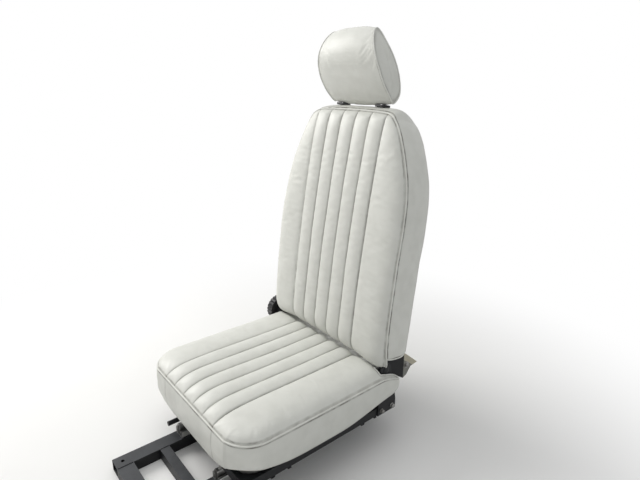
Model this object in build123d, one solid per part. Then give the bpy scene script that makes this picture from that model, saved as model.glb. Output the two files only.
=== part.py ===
"""A driver's seat on its floor frame: fluted cushion and backrest, headrest, recliner and slides.

Millimetres. The origin is the middle of the floor frame's four bolt holes, at the frame's underside.
+Z is up, the occupant faces -Y, and +X is the occupant's left.
"""
import os
from math import cos, radians, sin

from build123d import *

# Clearances: round a soft piece, in a bearing, between sliding channels, and past a cut's end
SOFT_GAP = 0.3
RUNNING_GAP = 0.08
SLIDE_GAP = 0.3
HOOK_GAP = 0.9
CUT_PAST = 1.0

# Floor frame: two flat tubes joined by cross bars
TUBE_WIDTH = 40.0
TUBE_HEIGHT = 30.0
TUBE_WALL = 2.5
FRAME_LENGTH = 690.0
RAIL_SPACING = 208.0
BOLT_INSET = 20.0
BOLT_HOLE_RADIUS = 4.5

# Cross bars: how far in from the frame's front end or rear end each one's middle lies, and its width
CROSSBARS_FROM_FRONT = {"front": (20.0, 40.0), "step": (120.5, 25.0)}
CROSSBARS_FROM_REAR = {"under": (215.0, 25.0), "rear": (70.0, 40.0)}

# Slides: a lower channel with turned-in lips, and an upper one whose feet hook beneath them
SLIDE_LENGTH = 465.0
SLIDE_FRONT = -175.0
SLIDE_WALL = 2.0
SLIDE_BEND = 2.0
LOWER_WIDTH = 36.0
LOWER_HEIGHT = 20.0
LIP_OPENING = 20.0
LIP_CURL = 6.0
UPPER_HEIGHT = 34.0
UPPER_STEM = 14.0
LATCH_SLOTS = 12
LATCH_PITCH = 14.0
LATCH_SLOT_LENGTH = 8.0
LATCH_SLOT_HEIGHT = 6.0
LATCH_SLOT_START = 40.0

# Release bar: one mitred rod that lifts both latches, with a plain round grip
ROD_RADIUS = 4.0
ROD_BEND = 16.0
ROD_SETBACK = 75.0
ROD_REACH = 12.0
LEVER_OFFSET = 10.0
LEVER_TIP = -188.0
GRIP_RADIUS = 6.5
GRIP_LENGTH = 50.0
GRIP_END_WALL = 4.0

# The seat's widest half, from which the pan, the pads and the recliner take theirs
SEAT_HALF_WIDTH = 240.0

# Carriage: two hat channels across the slides, and the pressed pan on them
CHANNEL_HEIGHT = 20.0
CHANNEL_TOP_WIDTH = 40.0
CHANNEL_FOOT = 10.0
CHANNEL_INSET = 13.0
CHANNEL_WALL = 2.0
CHANNEL_FROM_FRONT = 115.0
CHANNEL_FROM_REAR = 60.0
PAN_INSET = 17.0
PAN_FRONT = -170.0
PAN_REAR = 325.0
PAN_DEPTH = 21.7
PAN_CORNER = 30.0
PAN_WALL = 2.0
PAN_VENT_LENGTH = 90.0
PAN_VENT_WIDTH = 44.0
PAN_VENT_COLUMNS = (-110.0, 110.0)
PAN_VENT_ROWS = (20.0, 150.0)

# Heights and widths that the stack gives
SLIDE_SEAT = TUBE_HEIGHT
CHANNEL_SEAT = SLIDE_SEAT + UPPER_HEIGHT
PAN_SEAT = CHANNEL_SEAT + CHANNEL_HEIGHT
PAN_TOP = PAN_SEAT + PAN_DEPTH
CUSHION_BASE = PAN_TOP + SOFT_GAP
PAN_HALF_WIDTH = SEAT_HALF_WIDTH - PAN_INSET

# Cushion, as level outlines: height above its base, inset from the widest half, front, rear
CUSHION_BEVEL = 34.0
CUSHION_LEVELS = (
    (0.0, 5.0, -182.0, 337.0),
    (6.0, 0.0, -187.0, 342.0),
    (70.0, 0.0, -187.0, 342.0),
    (97.0, 0.0, -187.0, 300.0),
    (113.0, 10.0, -176.0, 270.0),
    (122.0, 44.0, -142.0, 242.0),
)

# Slot in each side of the cushion for the recliner's plates
SLOT_INSET = 33.0
SLOT_FRONT = 242.0

# Backrest: leans back about its datum, a point at the foot of its flat front
LEAN = 8.95
DATUM_Y = 218.7
DATUM_Z = 274.0

# Backrest outlines: share of its height, inset from the widest half, front, rear
BACKREST_HEIGHT = 620.0
BACKREST_BEVEL = 10.0
BACKREST_LEVELS = (
    (-0.055, 40.0, 44.0, 66.0),
    (-0.032, 18.0, 28.0, 92.0),
    (0.0, 0.0, 15.0, 112.0),
    (0.177, 0.0, 0.0, 112.0),
    (0.516, 0.0, -2.0, 107.0),
    (0.661, 10.0, 0.0, 108.0),
    (0.774, 29.0, 2.0, 107.0),
    (0.871, 54.0, 5.0, 104.0),
    (0.955, 90.0, 12.0, 98.0),
    (1.0, 130.0, 34.0, 84.0),
)

# Headrest outlines: height above the backrest's top, inset from its widest half, front, rear
HEADREST_HALF_WIDTH = 115.0
HEADREST_BEVEL = 6.0
HEADREST_LEVELS = (
    (10.0, 9.0, 43.0, 64.0),
    (22.0, 2.0, 33.0, 68.0),
    (44.0, 0.0, 9.0, 69.0),
    (80.0, 2.5, -19.0, 58.0),
    (112.0, 10.0, -31.0, 44.0),
    (144.0, 22.0, -32.0, 21.0),
    (166.0, 33.0, -24.0, 3.0),
    (177.0, 41.0, -20.0, -1.0),
)

# Headrest posts and their guides: how far a post reaches below and above the backrest's top
POST_SPACING = 148.0
POST_RADIUS = 6.0
POST_DEPTH = 54.0
POST_BELOW = 108.0
POST_ABOVE = 64.0
GUIDE_RADIUS = 9.0
GUIDE_LENGTH = 62.0
BEZEL_LENGTH = 44.0
BEZEL_WIDTH = 26.0
BEZEL_HEIGHT = 5.0

# Recliner: pivot, plates, gear and hand wheel
PIVOT_Y = 267.0
PIVOT_Z = 217.0
PIVOT_RADIUS = 8.0
EAR_RADIUS = 20.0
BASE_PLATE_WALL = 4.0
ARM_WALL = 4.0
ARM_SIDE_GAP = 3.0
PIN_HEAD = 1.5
BASE_PLATE_FOOT = (244.0, 312.0)
BASE_PLATE_HEEL = 112.0
GEAR_RADIUS = 22.0
GEAR_TO_WHEEL = 3.0
SPINDLE_RADIUS = 7.0
WHEEL_RADIUS = 42.0
WHEEL_WIDTH = 24.0
WHEEL_GAP = 6.0
WHEEL_RIBS = 24
RIB_GROOVE = 3.6
WHEEL_DISH = 8.0
WHEEL_RIM = 10.0
HUB_RADIUS = 13.0

# The recliner arm in y and z: up its front edge in the backrest, then down to the flange behind the seat
ARM_OUTLINE = (
    (284.0, 200.0),
    (346.0, 158.0),
    (360.0, 164.0),
    (376.0, 184.0),
    (404.0, 188.0),
    (359.0, 226.0),
    (324.0, 254.0),
    (316.0, 318.0),
    (288.0, 322.0),
    (262.0, 262.0),
    (250.0, 226.0),
)

# Planes that the pieces share
BACK_UP = (0, sin(radians(LEAN)), cos(radians(LEAN)))
BACK_DATUM = Plane(origin=(0, DATUM_Y, DATUM_Z), x_dir=(1, 0, 0), z_dir=BACK_UP)
SIDES = {"left": 1, "right": -1}


def bent_sheet(points, wall, bend):
    """The section of a folded sheet whose middle line runs through the points."""
    return trace(FilletPolyline(*points, radius=bend), line_width=wall)


def along_y(section, start, length):
    """Carry an x-z section backwards from start."""
    return Pos(0, start, 0) * extrude(Plane.XZ * section, amount=-length)


def side_plate(outline, inner, wall, side):
    """A plate standing in the y-z plane, its inner face at the given distance from the middle."""
    return extrude(Plane.YZ.offset(side * inner) * outline, amount=side * wall)


def pad_outline(datum, widest, level, bevel):
    """The corners of one bevelled rectangle of a pad: height, inset from the widest half, front, rear."""
    height, inset, front, rear = level
    half = widest - inset
    left = [(half - bevel, front), (half, front + bevel), (half, rear - bevel), (half - bevel, rear)]
    right = [(-x, y) for x, y in reversed(left)]
    return [datum.from_local_coords(Vector(x, y, height)) for x, y in left + right]


def flat_face(corners):
    """A flat face with the given corners."""
    return Face(Wire.make_polygon(corners))


def level_pad(datum, widest, levels, bevel):
    """A closed pad of flat faces from each level's outline to the next."""
    outlines = [pad_outline(datum, widest, level, bevel) for level in levels]
    faces = [flat_face(outlines[0]), flat_face(outlines[-1])]
    for lower, upper in zip(outlines, outlines[1:]):
        for a, b, c, d in zip(lower, lower[1:] + lower[:1], upper[1:] + upper[:1], upper):
            faces.append(flat_face([a, b, c, d]))
    return Solid(Shell(faces))


def flat_tube(length, width):
    """A rectangular tube along Y, centred on the origin."""
    section = Rectangle(width, TUBE_HEIGHT)
    section -= Rectangle(width - 2 * TUBE_WALL, TUBE_HEIGHT - 2 * TUBE_WALL)
    return along_y(section, -length / 2, length)


def frame_rail(side):
    """A side rail with a bolt hole near each end, through both walls."""
    rail = flat_tube(FRAME_LENGTH, TUBE_WIDTH)
    for end in (-1, 1):
        rail -= Pos(0, end * (FRAME_LENGTH / 2 - BOLT_INSET)) * Cylinder(BOLT_HOLE_RADIUS, 2 * TUBE_HEIGHT)
    return Pos(side * RAIL_SPACING / 2, 0, TUBE_HEIGHT / 2) * rail


def frame_crossbar(centre, width):
    """A cross bar fitted between the rails."""
    return Pos(0, centre, TUBE_HEIGHT / 2) * Rot(0, 0, 90) * flat_tube(RAIL_SPACING - TUBE_WIDTH, width)


def slide_lower(side):
    """The channel bolted to the rail, with latch slots along its outer wall."""
    half = (LOWER_WIDTH - SLIDE_WALL) / 2
    lip = (LIP_OPENING + SLIDE_WALL) / 2
    top = LOWER_HEIGHT - SLIDE_WALL / 2
    low = SLIDE_WALL / 2
    right = [(lip, LOWER_HEIGHT - LIP_CURL), (lip, top), (half, top), (half, low)]
    left = [(-x, z) for x, z in reversed(right)]
    channel = along_y(bent_sheet(right + left, SLIDE_WALL, SLIDE_BEND), SLIDE_FRONT, SLIDE_LENGTH)
    slot = Box(2 * SLIDE_WALL, LATCH_SLOT_LENGTH, LATCH_SLOT_HEIGHT)
    for index in range(LATCH_SLOTS):
        y = SLIDE_FRONT + LATCH_SLOT_START + index * LATCH_PITCH
        channel -= Pos(side * half, y, LOWER_HEIGHT / 2) * slot
    return Pos(side * RAIL_SPACING / 2, 0, SLIDE_SEAT) * channel


def slide_upper(side):
    """The moving channel: an upturned U whose feet turn up beneath the lower channel's lips."""
    wall_face = LOWER_WIDTH / 2 - SLIDE_WALL
    curl_face = LIP_OPENING / 2 + SLIDE_WALL
    hook = (wall_face + curl_face) / 2
    foot = SLIDE_WALL + SLIDE_GAP + SLIDE_WALL / 2
    hook_top = LOWER_HEIGHT - SLIDE_WALL - HOOK_GAP
    stem = (UPPER_STEM - SLIDE_WALL) / 2
    top = UPPER_HEIGHT - SLIDE_WALL / 2
    right = [(hook, hook_top), (hook, foot), (stem, foot), (stem, top)]
    left = [(-x, z) for x, z in reversed(right)]
    channel = along_y(bent_sheet(right + left, SLIDE_WALL, SLIDE_BEND), SLIDE_FRONT, SLIDE_LENGTH)
    rod_bore = Rot(0, 90, 0) * Cylinder(ROD_RADIUS + RUNNING_GAP, LOWER_WIDTH)
    channel -= Pos(0, rod_place_y(), rod_height()) * rod_bore
    return Pos(side * RAIL_SPACING / 2, 0, SLIDE_SEAT) * channel


def rod_place_y():
    """Where the release rod crosses the slides."""
    return SLIDE_FRONT + ROD_SETBACK


def rod_height():
    """The rod's height over the slides' seat: midway between the lower channel and the upper one's top."""
    return (LOWER_HEIGHT + UPPER_HEIGHT) / 2


def release_rod():
    """One rod through both upper slides, turned forwards by two mitres beside the right one."""
    rail = RAIL_SPACING / 2
    lever_x = -(rail + LOWER_WIDTH / 2 + LEVER_OFFSET)
    z = SLIDE_SEAT + rod_height()
    far_end = (rail + ROD_REACH, rod_place_y(), z)
    bend = (lever_x + ROD_BEND, rod_place_y(), z), (lever_x, rod_place_y() - ROD_BEND, z)
    path = Polyline(far_end, *bend, (lever_x, LEVER_TIP, z))
    section = Plane(origin=path @ 0, z_dir=path % 0) * Circle(ROD_RADIUS)
    return sweep(section, path=path, transition=Transition.RIGHT)


def release_grip():
    """The plastic grip pushed over the lever's end."""
    lever_x = -(RAIL_SPACING / 2 + LOWER_WIDTH / 2 + LEVER_OFFSET)
    sleeve = Cylinder(GRIP_RADIUS, GRIP_LENGTH)
    sleeve -= Pos(0, 0, GRIP_END_WALL) * Cylinder(ROD_RADIUS, GRIP_LENGTH)
    place = (lever_x, LEVER_TIP + GRIP_LENGTH / 2 - GRIP_END_WALL, SLIDE_SEAT + rod_height())
    return Pos(*place) * Rot(-90, 0, 0) * sleeve


def crossbar_places():
    """Where each cross bar lies along the frame, and its width."""
    end = FRAME_LENGTH / 2
    places = {name: (inset - end, width) for name, (inset, width) in CROSSBARS_FROM_FRONT.items()}
    return places | {name: (end - inset, width) for name, (inset, width) in CROSSBARS_FROM_REAR.items()}


def channel_centres():
    """Where each carriage channel lies along the slides."""
    rear_end = SLIDE_FRONT + SLIDE_LENGTH
    return {"front": SLIDE_FRONT + CHANNEL_FROM_FRONT, "rear": rear_end - CHANNEL_FROM_REAR}


def carriage_channel(centre):
    """A hat section across both slides, feet down."""
    foot = CHANNEL_WALL / 2
    half = (CHANNEL_TOP_WIDTH - CHANNEL_WALL) / 2
    top = CHANNEL_HEIGHT - CHANNEL_WALL / 2
    rear = [(half + CHANNEL_FOOT, foot), (half, foot), (half, top)]
    front = [(-y, z) for y, z in reversed(rear)]
    section = bent_sheet(rear + front, CHANNEL_WALL, CHANNEL_WALL)
    hat = extrude(Plane.YZ * section, amount=PAN_HALF_WIDTH - CHANNEL_INSET, both=True)
    return Pos(0, centre, CHANNEL_SEAT) * hat


def cushion_pan():
    """A pressed tray with vents in its floor."""
    middle = (PAN_FRONT + PAN_REAR) / 2
    length = PAN_REAR - PAN_FRONT
    outside = RectangleRounded(2 * PAN_HALF_WIDTH, length, PAN_CORNER)
    inside = RectangleRounded(2 * (PAN_HALF_WIDTH - PAN_WALL), length - 2 * PAN_WALL, PAN_CORNER - PAN_WALL)
    tray = extrude(outside, amount=PAN_DEPTH) - Pos(0, 0, PAN_WALL) * extrude(inside, amount=PAN_DEPTH)
    tray = Pos(0, middle, PAN_SEAT) * tray
    for x in PAN_VENT_COLUMNS:
        for y in PAN_VENT_ROWS:
            tray -= Pos(x, y, PAN_SEAT) * Box(PAN_VENT_LENGTH, PAN_VENT_WIDTH, PAN_DEPTH)
    return tray


def cushion():
    """The seat cushion, with a foam plug in the pan and a slot at each recliner."""
    pad = level_pad(Plane.XY.offset(CUSHION_BASE), SEAT_HALF_WIDTH, CUSHION_LEVELS, CUSHION_BEVEL)
    inset = PAN_WALL + SOFT_GAP
    length = PAN_REAR - PAN_FRONT - 2 * inset
    plug = RectangleRounded(2 * (PAN_HALF_WIDTH - inset), length, PAN_CORNER - inset)
    floor = PAN_SEAT + PAN_WALL + SOFT_GAP
    pad += Pos(0, (PAN_FRONT + PAN_REAR) / 2, floor) * extrude(plug, amount=CUSHION_BASE + CUT_PAST - floor)
    rear = max(level[3] for level in CUSHION_LEVELS) + CUT_PAST
    top = CUSHION_BASE + CUSHION_LEVELS[-1][0] + CUT_PAST
    slot_inner = SEAT_HALF_WIDTH - SLOT_INSET
    slot_outer = PAN_HALF_WIDTH + BASE_PLATE_WALL + ARM_SIDE_GAP
    for side in SIDES.values():
        pad -= between((side * slot_inner, SLOT_FRONT, PAN_SEAT), (side * slot_outer, rear, top))
    recess = SEAT_HALF_WIDTH + CUT_PAST - PAN_HALF_WIDTH
    return pad - pivot_disc(GEAR_RADIUS + ARM_SIDE_GAP, PAN_HALF_WIDTH, recess, SIDES["right"])


def between(low, high):
    """A block between two opposite corners."""
    size = [abs(b - a) for a, b in zip(low, high)]
    middle = [(a + b) / 2 for a, b in zip(low, high)]
    return Pos(*middle) * Box(*size)


def arm_inner():
    """Distance from the middle to the arm's inner face."""
    return PAN_HALF_WIDTH - ARM_SIDE_GAP - ARM_WALL


def base_plate_outline():
    """The base plate's outline in y and z: a foot on the pan that narrows to an ear at the pivot."""
    front, rear = BASE_PLATE_FOOT
    web = Polygon(
        (front, PAN_SEAT),
        (rear, PAN_SEAT),
        (rear, BASE_PLATE_HEEL),
        (PIVOT_Y + EAR_RADIUS, PIVOT_Z),
        (PIVOT_Y - EAR_RADIUS, PIVOT_Z),
        align=None,
    )
    return web + Pos(PIVOT_Y, PIVOT_Z) * Circle(EAR_RADIUS)


def arm_outline(margin=0.0):
    """The arm's outline in y and z, with an ear about the pivot, grown by a margin."""
    outline = Polygon(*ARM_OUTLINE, align=None) + Pos(PIVOT_Y, PIVOT_Z) * Circle(EAR_RADIUS)
    return offset(outline, margin, kind=Kind.INTERSECTION) if margin else outline


def pivot_disc(radius, start, length, side):
    """A disc or pin on the recliner's axis, running outwards from start."""
    disc = Pos(PIVOT_Y, PIVOT_Z) * Circle(radius)
    return side_plate(disc, start, length, side)


def recliner_base_plate(side):
    """A plate on the pan's side, with the pivot pin that the arm turns on."""
    plate = side_plate(base_plate_outline(), PAN_HALF_WIDTH, BASE_PLATE_WALL, side)
    reach = ARM_SIDE_GAP + ARM_WALL + PIN_HEAD
    return plate + pivot_disc(PIVOT_RADIUS, PAN_HALF_WIDTH - reach, reach, side)


def recliner_arm(side):
    """The arm that carries the backrest, bored for the pivot pin."""
    arm = side_plate(arm_outline(), arm_inner(), ARM_WALL, side)
    bore_length = ARM_WALL + 2 * CUT_PAST
    return arm - pivot_disc(PIVOT_RADIUS + RUNNING_GAP, arm_inner() - CUT_PAST, bore_length, side)


def wheel_inner():
    """Distance from the middle to the hand wheel's inner face."""
    return SEAT_HALF_WIDTH + WHEEL_GAP


def recliner_gear():
    """The gear's cup on the right base plate, with the spindle for the wheel."""
    face = PAN_HALF_WIDTH + BASE_PLATE_WALL
    cup = pivot_disc(GEAR_RADIUS, face, wheel_inner() - GEAR_TO_WHEEL - face, SIDES["right"])
    return cup + pivot_disc(SPINDLE_RADIUS, face, spindle_end() - face, SIDES["right"])


def spindle_end():
    """Distance from the middle to the spindle's end, half way through the wheel."""
    return wheel_inner() + WHEEL_WIDTH / 2


def recliner_wheel():
    """The hand wheel: a ribbed rim, a dished face and a hub bored for the spindle."""
    wheel = Cylinder(WHEEL_RADIUS, WHEEL_WIDTH)
    groove = Rot(0, 0, 45) * Box(RIB_GROOVE, RIB_GROOVE, WHEEL_WIDTH)
    for place in PolarLocations(WHEEL_RADIUS, WHEEL_RIBS):
        wheel -= place * groove
    dish = Cylinder(WHEEL_RADIUS - WHEEL_RIM, WHEEL_DISH) - Cylinder(HUB_RADIUS, WHEEL_DISH)
    wheel -= Pos(0, 0, (WHEEL_WIDTH - WHEEL_DISH) / 2) * dish
    socket = spindle_end() - wheel_inner() + SOFT_GAP
    wheel -= Pos(0, 0, (socket - WHEEL_WIDTH) / 2) * Cylinder(SPINDLE_RADIUS, socket)
    return Pos(-wheel_inner() - WHEEL_WIDTH / 2, PIVOT_Y, PIVOT_Z) * Rot(0, -90, 0) * wheel


def guide_places():
    """Where the two guides stand, on the backrest's datum."""
    return {name: side * POST_SPACING / 2 for name, side in SIDES.items()}


def upright(radius, low, high, x):
    """A round bar along the backrest between two distances from its datum, on a post's line."""
    return extrude(BACK_DATUM.offset(low) * Pos(x, POST_DEPTH) * Circle(radius), amount=high - low)


def backrest_levels():
    """The backrest's levels, each at its height up from the datum."""
    return [(share * BACKREST_HEIGHT, *rest) for share, *rest in BACKREST_LEVELS]


def backrest():
    """The backrest pad, with pockets for the arms and bores for the guides and posts."""
    pad = level_pad(BACK_DATUM, SEAT_HALF_WIDTH, backrest_levels(), BACKREST_BEVEL)
    for side in SIDES.values():
        pad -= side_plate(arm_outline(SOFT_GAP), arm_inner() - SOFT_GAP, ARM_WALL + 2 * SOFT_GAP, side)
    guide_foot = BACKREST_HEIGHT - GUIDE_LENGTH
    for x in guide_places().values():
        pad -= upright(GUIDE_RADIUS + SOFT_GAP, guide_foot - SOFT_GAP, BACKREST_HEIGHT + CUT_PAST, x)
        pad -= upright(POST_RADIUS + SOFT_GAP, post_foot() - CUT_PAST, BACKREST_HEIGHT, x)
    return pad


def headrest_guide(x):
    """A sleeve in the backrest with an oval collar on its top."""
    foot = BACKREST_HEIGHT - GUIDE_LENGTH
    sleeve = upright(GUIDE_RADIUS, foot, BACKREST_HEIGHT, x)
    bezel = BACK_DATUM.offset(BACKREST_HEIGHT) * Pos(x, POST_DEPTH) * SlotOverall(BEZEL_LENGTH, BEZEL_WIDTH)
    sleeve += extrude(bezel, amount=BEZEL_HEIGHT)
    bore_top = BACKREST_HEIGHT + BEZEL_HEIGHT + CUT_PAST
    return sleeve - upright(POST_RADIUS + RUNNING_GAP, foot - CUT_PAST, bore_top, x)


def post_foot():
    """How far up from the datum a post's lower end lies."""
    return BACKREST_HEIGHT - POST_BELOW


def headrest_post(x):
    """A post from inside the backrest to inside the headrest."""
    return upright(POST_RADIUS, post_foot(), BACKREST_HEIGHT + POST_ABOVE, x)


def headrest():
    """The headrest pad, bored for its posts."""
    levels = [(BACKREST_HEIGHT + above, *rest) for above, *rest in HEADREST_LEVELS]
    pad = level_pad(BACK_DATUM, HEADREST_HALF_WIDTH, levels, HEADREST_BEVEL)
    low = levels[0][0] - CUT_PAST
    high = BACKREST_HEIGHT + POST_ABOVE + SOFT_GAP
    for x in guide_places().values():
        pad -= upright(POST_RADIUS + SOFT_GAP, low, high, x)
    return pad


def all_pieces():
    """Every piece by its name."""
    pieces = {}
    for name, side in SIDES.items():
        pieces[f"frame_rail_{name}"] = frame_rail(side)
        pieces[f"slide_lower_{name}"] = slide_lower(side)
        pieces[f"slide_upper_{name}"] = slide_upper(side)
        pieces[f"recliner_base_plate_{name}"] = recliner_base_plate(side)
        pieces[f"recliner_arm_{name}"] = recliner_arm(side)
        pieces[f"headrest_guide_{name}"] = headrest_guide(guide_places()[name])
        pieces[f"headrest_post_{name}"] = headrest_post(guide_places()[name])
    for name, place in crossbar_places().items():
        pieces[f"frame_crossbar_{name}"] = frame_crossbar(*place)
    for name, centre in channel_centres().items():
        pieces[f"carriage_channel_{name}"] = carriage_channel(centre)
    pieces["release_rod"] = release_rod()
    pieces["release_grip"] = release_grip()
    pieces["cushion_pan"] = cushion_pan()
    pieces["cushion"] = cushion()
    pieces["recliner_gear"] = recliner_gear()
    pieces["recliner_wheel"] = recliner_wheel()
    pieces["backrest"] = backrest()
    pieces["headrest"] = headrest()
    return pieces


os.makedirs("parts", exist_ok=True)
for piece_name, piece in all_pieces().items():
    export_step(piece, f"parts/{piece_name}.step")
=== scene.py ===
"""Dresses a driver's seat: fluted vinyl pads with piped seams, black steel with worn and painted-light tops,
zinc slides.

Lengths are metres. +Z is up, the occupant faces -Y and +X is the occupant's left.
"""

import logging
import math
from collections.abc import Callable
from dataclasses import dataclass, field
from enum import Enum

import bmesh
import bpy
import numpy as np
from mathutils import Matrix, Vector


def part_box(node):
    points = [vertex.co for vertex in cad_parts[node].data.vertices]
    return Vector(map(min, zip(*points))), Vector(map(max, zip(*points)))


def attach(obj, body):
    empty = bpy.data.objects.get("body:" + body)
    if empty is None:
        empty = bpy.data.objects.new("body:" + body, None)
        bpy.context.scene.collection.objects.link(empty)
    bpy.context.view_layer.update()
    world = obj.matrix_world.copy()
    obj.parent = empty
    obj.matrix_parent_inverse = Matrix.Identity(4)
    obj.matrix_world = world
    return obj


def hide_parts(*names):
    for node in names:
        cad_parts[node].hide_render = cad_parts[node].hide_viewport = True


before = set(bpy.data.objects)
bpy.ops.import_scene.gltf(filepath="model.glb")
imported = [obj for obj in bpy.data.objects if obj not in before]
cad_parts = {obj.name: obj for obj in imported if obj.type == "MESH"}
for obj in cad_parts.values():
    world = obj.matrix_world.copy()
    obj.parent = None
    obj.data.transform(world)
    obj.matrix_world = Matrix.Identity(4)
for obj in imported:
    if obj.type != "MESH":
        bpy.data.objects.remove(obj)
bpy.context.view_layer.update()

logging.basicConfig(level=logging.INFO, format="%(message)s")
LOG = logging.getLogger("seat")

Array = np.ndarray
Mesh = tuple[Array, list[Array]]
Surface = Callable[[Array, Array], Array]
Colour = tuple[float, float, float]
MM = 0.001
UP = np.array([0.0, 0.0, 1.0])
ACROSS = np.array([1.0, 0.0, 0.0])
SIDES = (("left", 1.0), ("right", -1.0))
NEARLY_UP = np.array([0.1, 0.2, 1.0])
WELT_OUT = 0.6 * MM
WELT_UP = 0.4 * MM
# The point attribute that says how much seam dirt and painted seam shade each point gets.
SEAM_DIRT_AND_SHADE = "seam"
BACK_LEAN = math.radians(8.95)
BACK_DATUM = np.array([0.0, 218.7, 274.0]) * MM
BACK_UP = np.array([0.0, math.sin(BACK_LEAN), math.cos(BACK_LEAN)])
BACK_REARWARD = np.array([0.0, math.cos(BACK_LEAN), -math.sin(BACK_LEAN)])
FLUTES = 5


class Slot(Enum):
    """The record's material slots."""

    VINYL = "vinyl_ivory"
    FRAME = "frame_black"
    SLIDE = "slide_steel"
    PLASTIC = "plastic_black"
    POST = "post_steel"


class Body(Enum):
    """The bodies that pieces ride on."""

    BASE = "base"
    CARRIAGE = "carriage"
    BACKREST = "backrest_frame"
    HEADREST = "headrest_frame"


# Mesh helpers


def grid_quads(rows: int, columns: int) -> Array:
    """Quads over a grid of points numbered row by row: four point numbers each."""
    index = np.arange(rows * columns).reshape(rows, columns)
    corners = (index[:-1, :-1], index[:-1, 1:], index[1:, 1:], index[1:, :-1])
    return np.stack(corners, axis=-1).reshape(-1, 4)


def wrapped_quads(rows: int, columns: int) -> Array:
    """Quads over a grid whose last row joins the first."""
    first = np.arange(columns - 1)
    last = first + (rows - 1) * columns
    return np.concatenate([grid_quads(rows, columns), np.stack([last, last + 1, first + 1, first], axis=-1)])


def ring_quads(rows: Array) -> Array:
    """Quads between rows of point numbers, where each row's last point joins its first."""
    ahead = np.roll(rows, -1, axis=1)
    return np.stack([rows[:-1], ahead[:-1], ahead[1:], rows[1:]], axis=-1).reshape(-1, 4)


def fan(ring: Array, pole: int) -> Array:
    """Triangles from a ring of point numbers to a pole."""
    return np.stack([ring, np.roll(ring, -1), np.full(len(ring), pole)], axis=-1)


def rim_of(rows: int, columns: int) -> Array:
    """The point numbers round a grid's edge, in order and each once."""
    index = np.arange(rows * columns).reshape(rows, columns)
    return np.concatenate([index[0], index[1:, -1], index[-1, -2::-1], index[-2:0:-1, 0]])


def unit(vectors: Array) -> Array:
    """Vectors scaled to length one."""
    return vectors / np.maximum(np.linalg.norm(vectors, axis=-1, keepdims=True), 1e-12)


def bell(distance: Array, width: float) -> Array:
    """A bell: exp(-(distance / width)^2)."""
    return np.exp(-((distance / width) ** 2))


def crowded(t: Array, share: float) -> Array:
    """Moves places between -1 and 1 towards both ends: (1 - share) t + share sin(pi t / 2)."""
    return (1.0 - share) * t + share * np.sin(np.pi * t / 2.0)


def smooth_step(value: Array, low: float, high: float) -> Array:
    """Zero below low, one above high, and 3t^2 - 2t^3 between."""
    t = np.clip((value - low) / (high - low), 0.0, 1.0)
    return t * t * (3.0 - 2.0 * t)


def make_piece(name: str, parts: Mesh, marks: Array | None = None, smooth: bool = True) -> bpy.types.Object:
    """Puts points and faces into an object with outward faces.

    Args:
        name: The piece's name.
        parts: Its points, three numbers each, and its blocks of faces, each with one count of points a face.
        marks: How much dirt and painted shade each point gets near the seams, from 0 to 1.
        smooth: Whether its faces are shaded smooth.

    Returns:
        The object, linked to the scene, at the origin.
    """
    points, blocks = parts
    faces = [face for block in blocks for face in block.tolist()]
    mesh = bpy.data.meshes.new(name)
    mesh.from_pydata(points.reshape(-1, 3).tolist(), [], faces)
    if marks is not None:
        layer = mesh.attributes.new(SEAM_DIRT_AND_SHADE, "FLOAT", "POINT")
        layer.data.foreach_set("value", marks.ravel().astype(np.float32))
    shell = bmesh.new()
    shell.from_mesh(mesh)
    bmesh.ops.recalc_face_normals(shell, faces=shell.faces)
    shell.to_mesh(mesh)
    shell.free()
    mesh.polygons.foreach_set("use_smooth", np.full(len(mesh.polygons), smooth))
    piece = bpy.data.objects.new(name, mesh)
    bpy.context.scene.collection.objects.link(piece)
    return piece


def path_frames(path: Array, up: Array, closed: bool) -> tuple[Array, Array, Array]:
    """Unit vectors along, across and over a path: across is up x along, over is along x across."""
    if closed:
        ahead = np.roll(path, -1, axis=0) - np.roll(path, 1, axis=0)
    else:
        ahead = np.gradient(path, axis=0)
    along = unit(ahead)
    across = unit(np.cross(up, along))
    return along, across, np.cross(along, across)


def round_mesh(body: Array, poles: Array) -> Mesh:
    """A mesh of rings of points in a row, closed by a fan to a pole at each end."""
    rows = np.arange(body.shape[0] * body.shape[1]).reshape(body.shape[:2])
    faces = [ring_quads(rows), fan(rows[0], rows.size), fan(rows[-1], rows.size + 1)]
    return np.concatenate([body.reshape(-1, 3), poles]), faces


def tube_mesh(path: Array, radius: Array | float, up: Array, closed: bool, sides: int = 14) -> Mesh:
    """A round tube: each ring is the path's point plus radius times (cos across + sin over).

    Args:
        path: The middle line.
        radius: One radius, or one for each point.
        up: A direction that the path never runs along.
        closed: Whether the path joins up with itself; open ends are closed with a fan.
        sides: Points round the tube.

    Returns:
        Points and faces.
    """
    _, across, over = path_frames(path, up, closed)
    turn = np.linspace(0.0, 2.0 * np.pi, sides, endpoint=False)
    radii = np.broadcast_to(np.asarray(radius, dtype=float), (len(path),))[:, None, None]
    ring = across[:, None] * np.cos(turn)[:, None] + over[:, None] * np.sin(turn)[:, None]
    body = path[:, None] + radii * ring
    if not closed:
        return round_mesh(body, path[[0, -1]])
    rows = np.arange(body.shape[0] * sides).reshape(-1, sides)
    return body.reshape(-1, 3), [ring_quads(np.concatenate([rows, rows[:1]]))]


def welt_tube(rim: Array, count: int, up: Array, radius: float) -> Mesh:
    """The piping round a pad: a tube a little outside the rim and above it.

    Args:
        rim: The pad's rim, where the panel meets the band.
        count: Rings along the piping.
        up: The way that the panel faces.
        radius: The piping's radius.

    Returns:
        Points and faces.
    """
    path = even_spacing(rim, count, closed=True)
    _, outward, _ = path_frames(path, up, closed=True)
    outward *= np.sign(np.sum(outward * (path - path.mean(axis=0))))
    return tube_mesh(path + outward * WELT_OUT + up * WELT_UP, radius, up, closed=True)


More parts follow.
